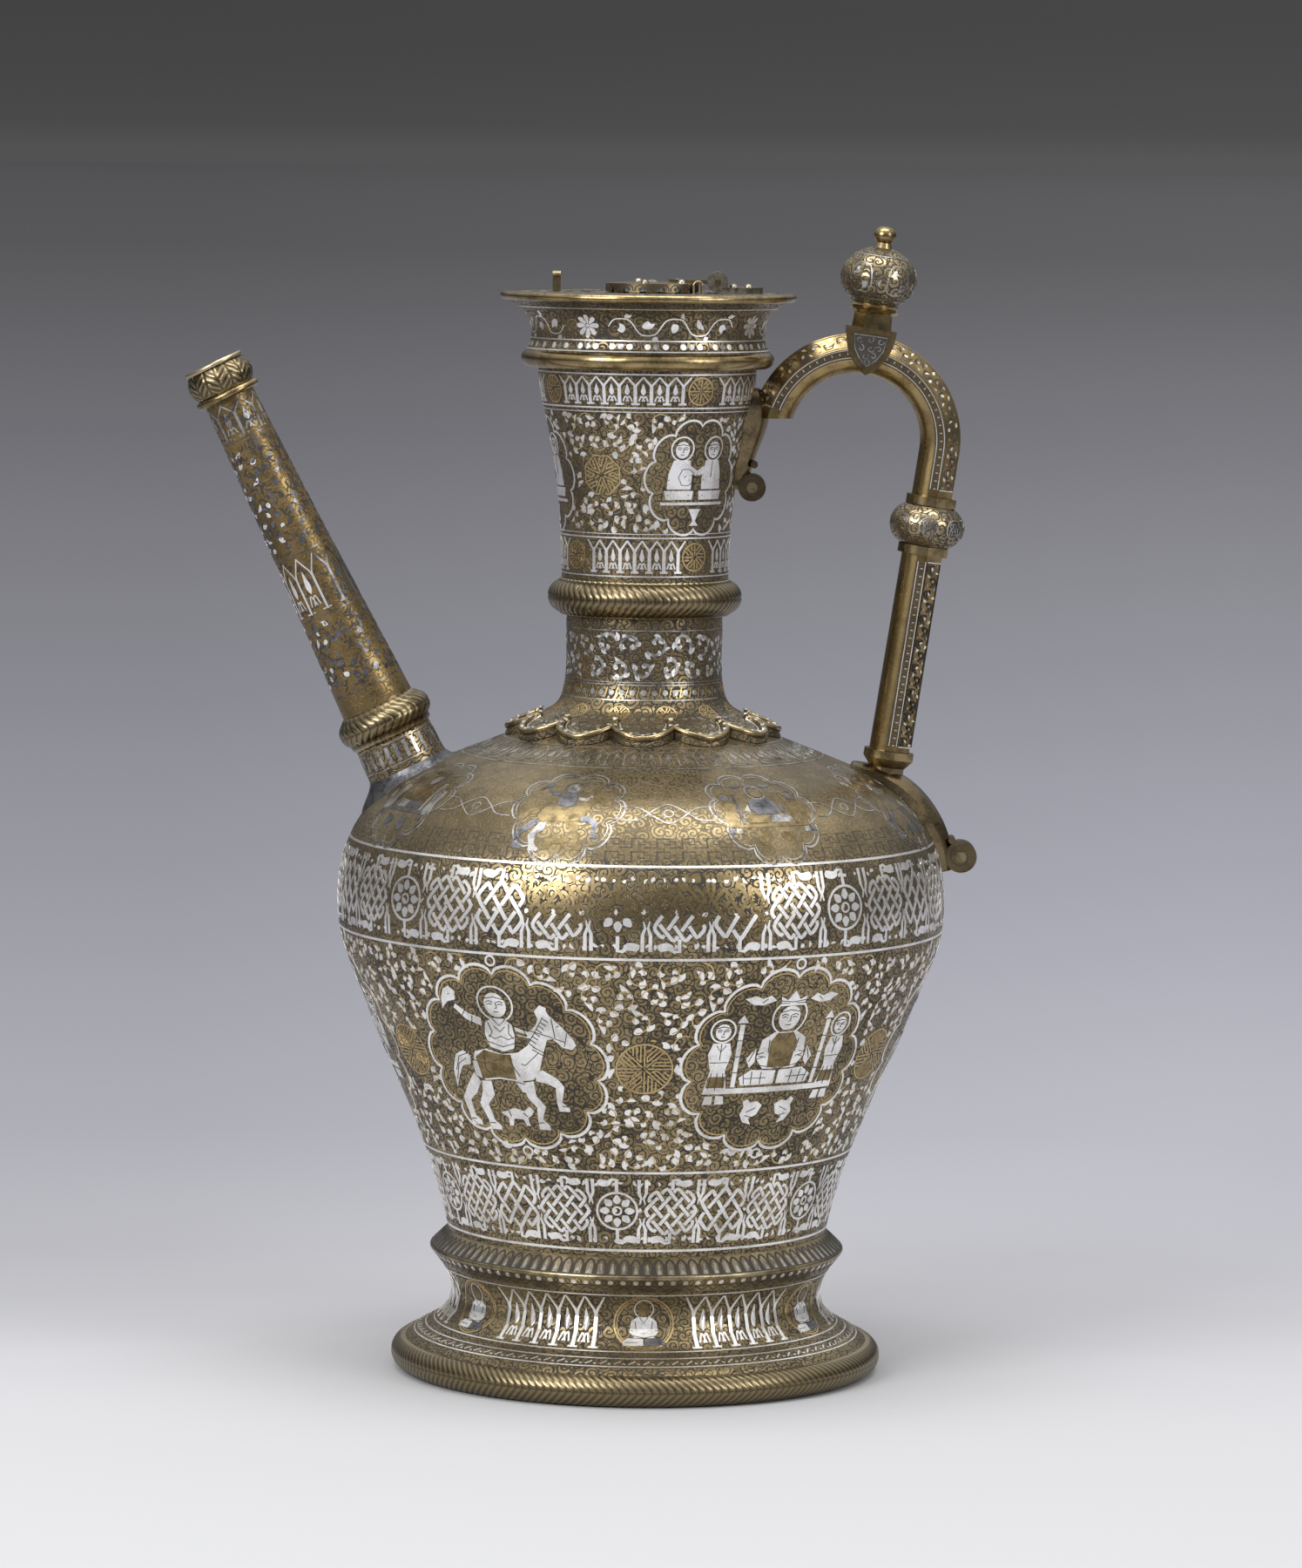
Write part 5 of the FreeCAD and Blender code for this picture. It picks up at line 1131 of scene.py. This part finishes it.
# Mouth plate, lid and hinge: a flat plate let into the rim, and on it a small cap with an arcaded side,
# riveted strap and leaf, and a pin between two knuckles. The plate and the hinge leaf were silvered and
# have gone dull grey.
silvered = metal("silvered_brass", (0.34, 0.31, 0.25), (0.09, 0.08, 0.06), 0.36, blotch=0.003, marks=0.00012)
domed_brass = metal("domed_brass", (0.40, 0.35, 0.27), (0.12, 0.10, 0.075), 0.26, blotch=0.004)
finish("mouth_plate hinge_leaf", silvered)
finish("lid_rivets hinge_leaf_rivets", domed_brass)
finish("lid_cap lid_strap hinge_pin hinge_staples catch_hook", plain_brass)
lid_side = skin([(17.8, 416.5), (17.8, 419.6)], Matrix.Translation((0.0013, 0, 0)))
niche = rounded([(-1.9, 0.1), (-1.7, 1.5), (0, 2.6), (1.7, 1.5), (1.9, 0.1)], 3, False)
bud = plate(round_shape(0.7, 8) + (0, 0.9), 0.04)
inlay("lid_niches", repeat(lid_side, [wire(niche, 0.5, 0.06), bud], 24, 0.2), filling, "lid")
plate_marks = []
steps = np.arange(2, 8)
plate_top, lid_reach = 416.1, 26
for angle in np.linspace(0, 2 * math.pi, 48, endpoint=False):
    for reach in (24.0, 30.5, 37.0, 43.5, 50.0):
        if reach > lid_reach or abs(math.sin(angle)) > 0.6:
            middle = (reach * math.sin(angle), -reach * math.cos(angle))
            corners, faces = wire(curl(middle, angle + reach + steps * 0.8, steps * 0.35), 0.4, 0.05, -0.1)
            plate_marks.append(((corners + (0, 0, plate_top)) / 1000, faces))
inlay("plate_curls", plate_marks, filling)

# Spout socket and solder: a short flaring tube let through the shoulder, with upright slips of silver,
# held by a ragged fillet of grey lead solder.
finish("spout_solder", metal("lead_solder", (0.15, 0.15, 0.158), (0.05, 0.05, 0.054), 0.42, blotch=0.003,
                             marks=0.0003))
finish("spout_socket", engraved_brass)
spout_place = Matrix.Translation((-0.100068, 0, 0.25138)) @ Matrix.Rotation(math.radians(-26.3), 4, "Y")
socket_skin = skin(smooth_outline([(17.9, -39.4), (16.17, -23.7), (15.3, -8.0)]), spout_place)
slip = plate([(-0.75, -3.4), (0.75, -3.4), (0.75, 3.4), (-0.75, 3.4)])
inlay("socket_slips", repeat(socket_skin, [slip], 26, reach_of(socket_skin, -13.4))
      + hoops(socket_skin, (-9.0, -17.8), 0.4, steps=90), tarnished_silver)

# Spout ring: a chased moulding where the tube stands on its socket. It is cast, turned and soldered on,
# and has the same herringbone as the foot ring.
chased_ring("spout_ring", (13.38, -0.726, 5.52, -5.28, 3.828, 16), [(12.6, -8.0), (15.3, -8.0), (16.5, -6.8)],
            [(15.45, 4.93), (14.4, 5.8), (12.6, 5.8)], 480, (34, 1.9, 0.25), spout_place)

# Spout tube: rolled from sheet and soldered down the back, straight and tapering. Its foot is plain, and
# the bands above are so worn that little but short dark cuts and scattered silver is left of the scrolls.
# On one side the silver is bright, as a painted highlight, and on the other the arcade is dark, as painted
# shade.
finish("spout_tube", engraved("worn_brass", (0.29, 0.203, 0.088), (0.16, 0.11, 0.045), 0.38,
                              smooth_from=-1.0))
finish("spout_mouth_ring", polished_brass)
tube_skin = skin(smooth_outline([(14.4, 5.8), (12.0, 65.876), (9.95, 136.4)]), spout_place)
line_heights = (14.4, 46.0, 71.4, 120.4)
inlay("spout_lines", hoops(tube_skin, line_heights, 0.45, 0.1, 90), blackened_silver)
chance = random.Random(9)
cuts = []
for number in range(1150):
    path = chance.uniform(10.0, 128.0)
    if all(abs(path - reach_of(tube_skin, height)) > 1.4 for height in line_heights):
        length = chance.uniform(0.7, 1.7)
        cut = wire([(-length, 0), (0, chance.uniform(-0.7, 0.7)), (length, 0)], [0.4, 0.8, 0.4], 0.1)
        cuts.append(lay(tube_skin, cut, chance.uniform(0, 2 * math.pi), path, chance.uniform(0, math.pi)))
inlay("spout_cuts", cuts, filling)
# Painted highlight: the bright silver leaves are laid only on one side of the tube; the dark ones go all
# round.
for name, low, high, dark_leaf, seed in (("spout_foot", 15.6, 45.0, 0.85, 41),
                                         ("spout_field", 72.4, 119.4, 0.8, 42)):
    scrolls(name, tube_skin, low, high, 14.0, lambda angle, *spot: math.sin(angle) > -0.15, 0.75, 0,
            seed=seed)
    scrolls(name + "_dark", tube_skin, low, high, 12.0, leaf=dark_leaf, stroke=0, leaf_metal=blackened_silver,
            seed=seed + 3)
# Painted light: the arcade is bright silver on one side of the tube and dark silver on the other, as painted
# highlight and shade.
inlay("spout_lit_side_arcade", arcade(tube_skin, 47.0, 70.6, 11, 0.85, lambda angle: math.sin(angle) > 0.1), silver)
inlay("spout_shaded_side_arcade", arcade(tube_skin, 47.0, 70.6, 11, 1.1, lambda angle: math.sin(angle) <= 0.1),
      blackened_silver)
inlay("spout_top_arcade", arcade(tube_skin, 121.0, 135.4, 8, 1.1), tarnished_silver)

# Spout mouth: a cast bulb cut with upright leaves, with a thin turned lip. It is soldered on the tube's
# end, and its bore narrows towards the tube.
bulb_low, bulb_tall, bulb_leaves = 139.4, 10.2, 8
bulb_arc = [(11.4 + 1.92 * math.sin(math.pi * share) - 0.25 * share, bulb_low + bulb_tall * share)
            for share in np.linspace(0, 1, 19)]
bulb_bore = smooth_outline([(10.2, 151.3), (9.0, 149.6), (8.25, bulb_low)], 9).tolist()
bulb = lathe("leaf_cut_bulb", bulb_arc + [(11.7, 149.6), (11.7, 151.3)] + bulb_bore, 240)
radius, angle, height = polar(bulb)
share = np.clip((height - bulb_low) / bulb_tall, 0, 1)
vein = np.abs(np.mod(angle / (2 * math.pi) * bulb_leaves, 1.0) - 0.5) * 2
groove = np.abs(np.mod(share * 4.0 + vein * 1.6, 1.0) - 0.5) * 2
groove = np.clip(groove * 1.5 - 0.25, 0, 1) * (vein < 0.9) * (vein > 0.07)
wall = (radius > 11.2) & (share > 0.03) & (share < 0.97)
push = -0.34 * (1 - groove) * np.abs(np.sin(math.pi * share)) ** 0.4 * wall
reshape(bulb, radius + push, angle, height)
fit(bulb, "spout_mouth", spout_place)

# Handle: one cast bar, filed round inside and flat outside, bent over into an arch. Silver wires run
# along its sides, and its outer bevels are cut with a leafy vine. Polished collars hold its ends.
handle_brass = metal("handle_brass", (0.34, 0.247, 0.112), (0.15, 0.106, 0.045), 0.27, blotch=0.01)
finish("handle_arch handle_shaft", handle_brass)
finish("knop_upper_band knop_lower_band shaft_band finial_neck finial_ring finial_ball shield_collar",
       polished_brass)
finish("leaf_scroll_pin bracket_scroll_pin", plain_brass)
# Painted shade: the leaf and the bracket get a much darker brass for the shadow they lie in.
finish("handle_leaf handle_bracket",
       metal("shaded_cast_brass", (0.19, 0.145, 0.08), (0.06, 0.046, 0.026), 0.25, blotch=0.01, marks=0.00008))
finish("handle_knop finial_knob", engraved("knop_brass", (0.38, 0.30, 0.175), (0.19, 0.148, 0.083), 0.27))
arch_x, arch_z, arch_radius, lean = 80.0, 361.1, 32.75, math.radians(8.15)


def along_bar(corners, way):
    """Lay (up the bar, over its bevel or side, lift) corners on the bar's front (-1) or back (1)."""
    run, across, lift = corners.T
    turn = np.maximum(run, 0) / arch_radius - lean
    out_x, out_z = np.cos(turn), np.sin(turn)
    down = np.maximum(-run, 0)
    middle_x = arch_x + arch_radius * out_x + down * out_z
    middle_z = arch_z + arch_radius * out_z - down * out_x
    bevel_x, bevel_y, bevel_start, half_width = 0.7624, 0.6472, 1.86, 7.5
    out = bevel_start + np.where(across > 0, across * bevel_x + lift * bevel_y, across)
    wide = half_width + np.where(across > 0, lift * bevel_x - across * bevel_y, lift)
    return np.c_[middle_x + out * out_x, wide * way, middle_z + out * out_z] / 1000


def on_bar(part):
    """A part on the front of the bar, and its mirrored copy on the back."""
    corners, faces = part
    return [(along_bar(corners, -1), [side[::-1] for side in faces]), (along_bar(corners, 1), faces)]


bar_lines, bar_cuts, bar_leaves = [], [], []
vine_middle, key_pitch, wave_pitch, flush = 3.85, 3.0, 4.6, 0.04
for first, last in ((-96.0, 14.4), (42.4, 114.4)):
    steps = np.linspace(first, last, int((last - first) / 1.6))
    for across in (-3.4, -0.5):
        bar_lines += on_bar(wire(np.c_[-steps, np.full(len(steps), across)], 0.3))
    for across in (-3.9, 0.6, 7.1):
        bar_cuts += on_bar(wire(np.c_[-steps, np.full(len(steps), across)], 0.34, flush))
    for end in (first, last):
        bar_lines += on_bar(wire(np.c_[np.full(6, -end), np.linspace(0.3, 7.2, 6)], 0.4))
    keys = int((last - first) / key_pitch)
    for key in range(keys):
        spot = -(first + (key + 0.5) * (last - first) / keys)
        bar_cuts += on_bar(wire([(spot + along, across) for along, across in (
            (-1.5, -2.8), (-0.5, -2.8), (-0.5, -1.1), (0.6, -1.1), (0.6, -2.8), (1.5, -2.8))], 0.5, flush))
        bar_lines += on_bar(wire([(spot - 1.2, -1.3), (spot - 1.2, -2.2)], 0.3))
    waves = int((last - first) / wave_pitch)
    for wave in range(waves):
        spot = -(first + (wave + 0.5) * (last - first) / waves)
        hand = 1 if wave % 2 else -1
        for grow in (1.0, 0.45):
            line = rounded([(spot + along, vine_middle + hand * up) for along, up in (
                (-2.3, 0), (-1.2, 2.2 * grow), (0.9, 2.0 * grow), (1.1, -0.3), (-0.3, 0.3))], 3, False)
            bar_cuts += on_bar(wire(line, 0.46, flush))
        for number, (x, y) in enumerate(((0.0, 0.6), (1.9, -2.1), (-1.5, -2.2))):
            corners, faces = leaf_plates[(wave + number) % 4]
            flat = spin(corners, 1.3 * wave + number, 0.42) + (spot + x, vine_middle + hand * y * 0.9, 0)
            (bar_leaves if (wave + number) % 2 else bar_lines).extend(on_bar((flat, faces)))
inlay("handle_silver", bar_lines, silver)
inlay("handle_cuts", bar_cuts, filling)
inlay("handle_leaves", bar_leaves, tarnished_silver)

# Knop: a hollow ball of sheet brass, threaded on the bar between two collars. It is engraved all over,
# with eight knots of silver wire in rings.
knop_place = Matrix.Translation((arch_x / 1000, 0, arch_z / 1000)) @ Matrix.Rotation(lean, 4, "Y") \
    @ Matrix.Translation((arch_radius / 1000, 0, -0.0206))
knop_wide, knop_neck, knop_half = 14.3, 8.8, 7.85
knop_radius = ((knop_wide - knop_neck) ** 2 + knop_half ** 2) / (2 * (knop_wide - knop_neck))
knop_skin = skin([(knop_wide - knop_radius + math.sqrt(knop_radius ** 2 - level ** 2), level - knop_half)
                  for level in np.linspace(-7.8, 7.8, 60)], knop_place)
knot = [ring(3.6, 20, 0.45), wire(looped(2.3, 2.3, 2, 3, 60), 0.4, closed=True)]
dot = [plate(round_shape(0.6, 8))]
inlay("knop_roundels", repeat(knop_skin, knot, 8, reach_of(knop_skin, -knop_half))
      + repeat(knop_skin, dot, 8, reach_of(knop_skin, -4.3), math.pi / 8)
      + repeat(knop_skin, dot, 8, reach_of(knop_skin, -11.4), math.pi / 8), tarnished_silver)

# Finial: a turned onion knob and ball on a cast shield that straddles the arch. Silver panels are let
# into the knob, and the shield's faces are cut with curls on a black ground.
finial_place = Matrix.Translation((0.08, 0, 0.3611)) @ Matrix.Rotation(math.radians(7.6), 4, "Y")
knob_skin = skin(smooth_outline([(8.6, 52.35), (12.41, 55.77), (14.75, 61.34), (12.92, 67.76), (8.25, 72.04),
                                 (4.6, 73.75)]), finial_place)
panel = rounded([(-3.6, -4.8), (0, -5.6), (3.6, -4.8), (4.6, 0), (3.2, 4.6), (0, 6.2), (-3.2, 4.6),
                 (-4.6, 0)])
strokes = [wire(panel, 0.45, closed=True), wire([(0, -5.2), (0, 5.8)], 0.5)]
strokes += [figure(shape) for shape in ([(-2.9, 1.4), (-0.9, 1.4), (-0.9, 4.4), (-2.2, 3.6)],
                                        [(0.9, -4.2), (2.7, -3.6), (3.4, -1.2), (0.9, -1.2)])]
inlay("knob_panels", repeat(knob_skin, strokes, 6, reach_of(knob_skin, 61.8), math.pi / 6)
      + repeat(knob_skin, [leaf_plates[2]], 6, reach_of(knob_skin, 60.4), 0.0, 1.5, 0.7)
      + hoops(knob_skin, (54.2, 70.6), 0.4, steps=90), tarnished_silver)


def upright(part, x, y, z, way, place=Matrix()):
    """A flat part stood upright, facing the front (-1) or the back (1)."""
    corners, faces = part
    spots = np.c_[corners[:, 0] + x, way * (y + corners[:, 2]), corners[:, 1] + z] / 1000
    return moved(spots, place), faces if way < 0 else [side[::-1] for side in faces]


shield_face, shield_top = 9.6, 42.75
field = np.array([(-6.9, -2.4), (-5.8, -8.4), (-3.4, -12.2), (0, -15.0), (3.4, -12.2), (5.8, -8.4),
                  (6.9, -2.4)])
curls = [wire(field * 0.93 + (0, -0.5), 0.35, 0.08, 0.0, closed=True)]
steps = np.linspace(0, 1, 10)
for x, y, turn in ((-4, -4.4, 0.3), (0, -4.2, 2.0), (4, -4.4, 1.1), (-3.2, -7.8, 2.6), (0.6, -7.6, 0.8),
                   (3.6, -7.6, 4.0), (-1.2, -10.6, 1.6), (1.8, -10.4, 3.1), (0.2, -12.8, 5.0)):
    curls.append(wire(curl((x, y), turn + 5.2 * steps, 0.3 + 1.15 * steps), 0.36, 0.08, 0.0))
for name, parts, paint, slot in (("ground", [plate(field, 0.03)], filling, "black_filling"),
                                 ("curls", curls, tarnished_silver, "silver_inlay")):
    inlay("shield_" + name, [upright(part, 0, shield_face, shield_top, way, finial_place)
                             for way in (-1, 1) for part in parts], paint)

# Scroll ends: each tongue rolls up round a cross pin, whose burred heads show at both sides. A black line
# follows the gap between the turns of the roll, as painted shade in the gap.
gap_shade_lines = []
scroll_side = 4.6
steps = np.linspace(0, 5.6, 24)
for eye_x, eye_z, reach in ((40.65, 341.95, 5.3), (123.31, 200.44, 6.1)):
    gap_line = wire(curl((0, 0), 1.2 + steps, reach - 1.4 - 0.42 * steps), 0.4, 0.05, -0.1)
    gap_shade_lines += [upright(gap_line, eye_x, scroll_side, eye_z, way) for way in (-1, 1)]
inlay("scroll_gap_shade", gap_shade_lines, filling)
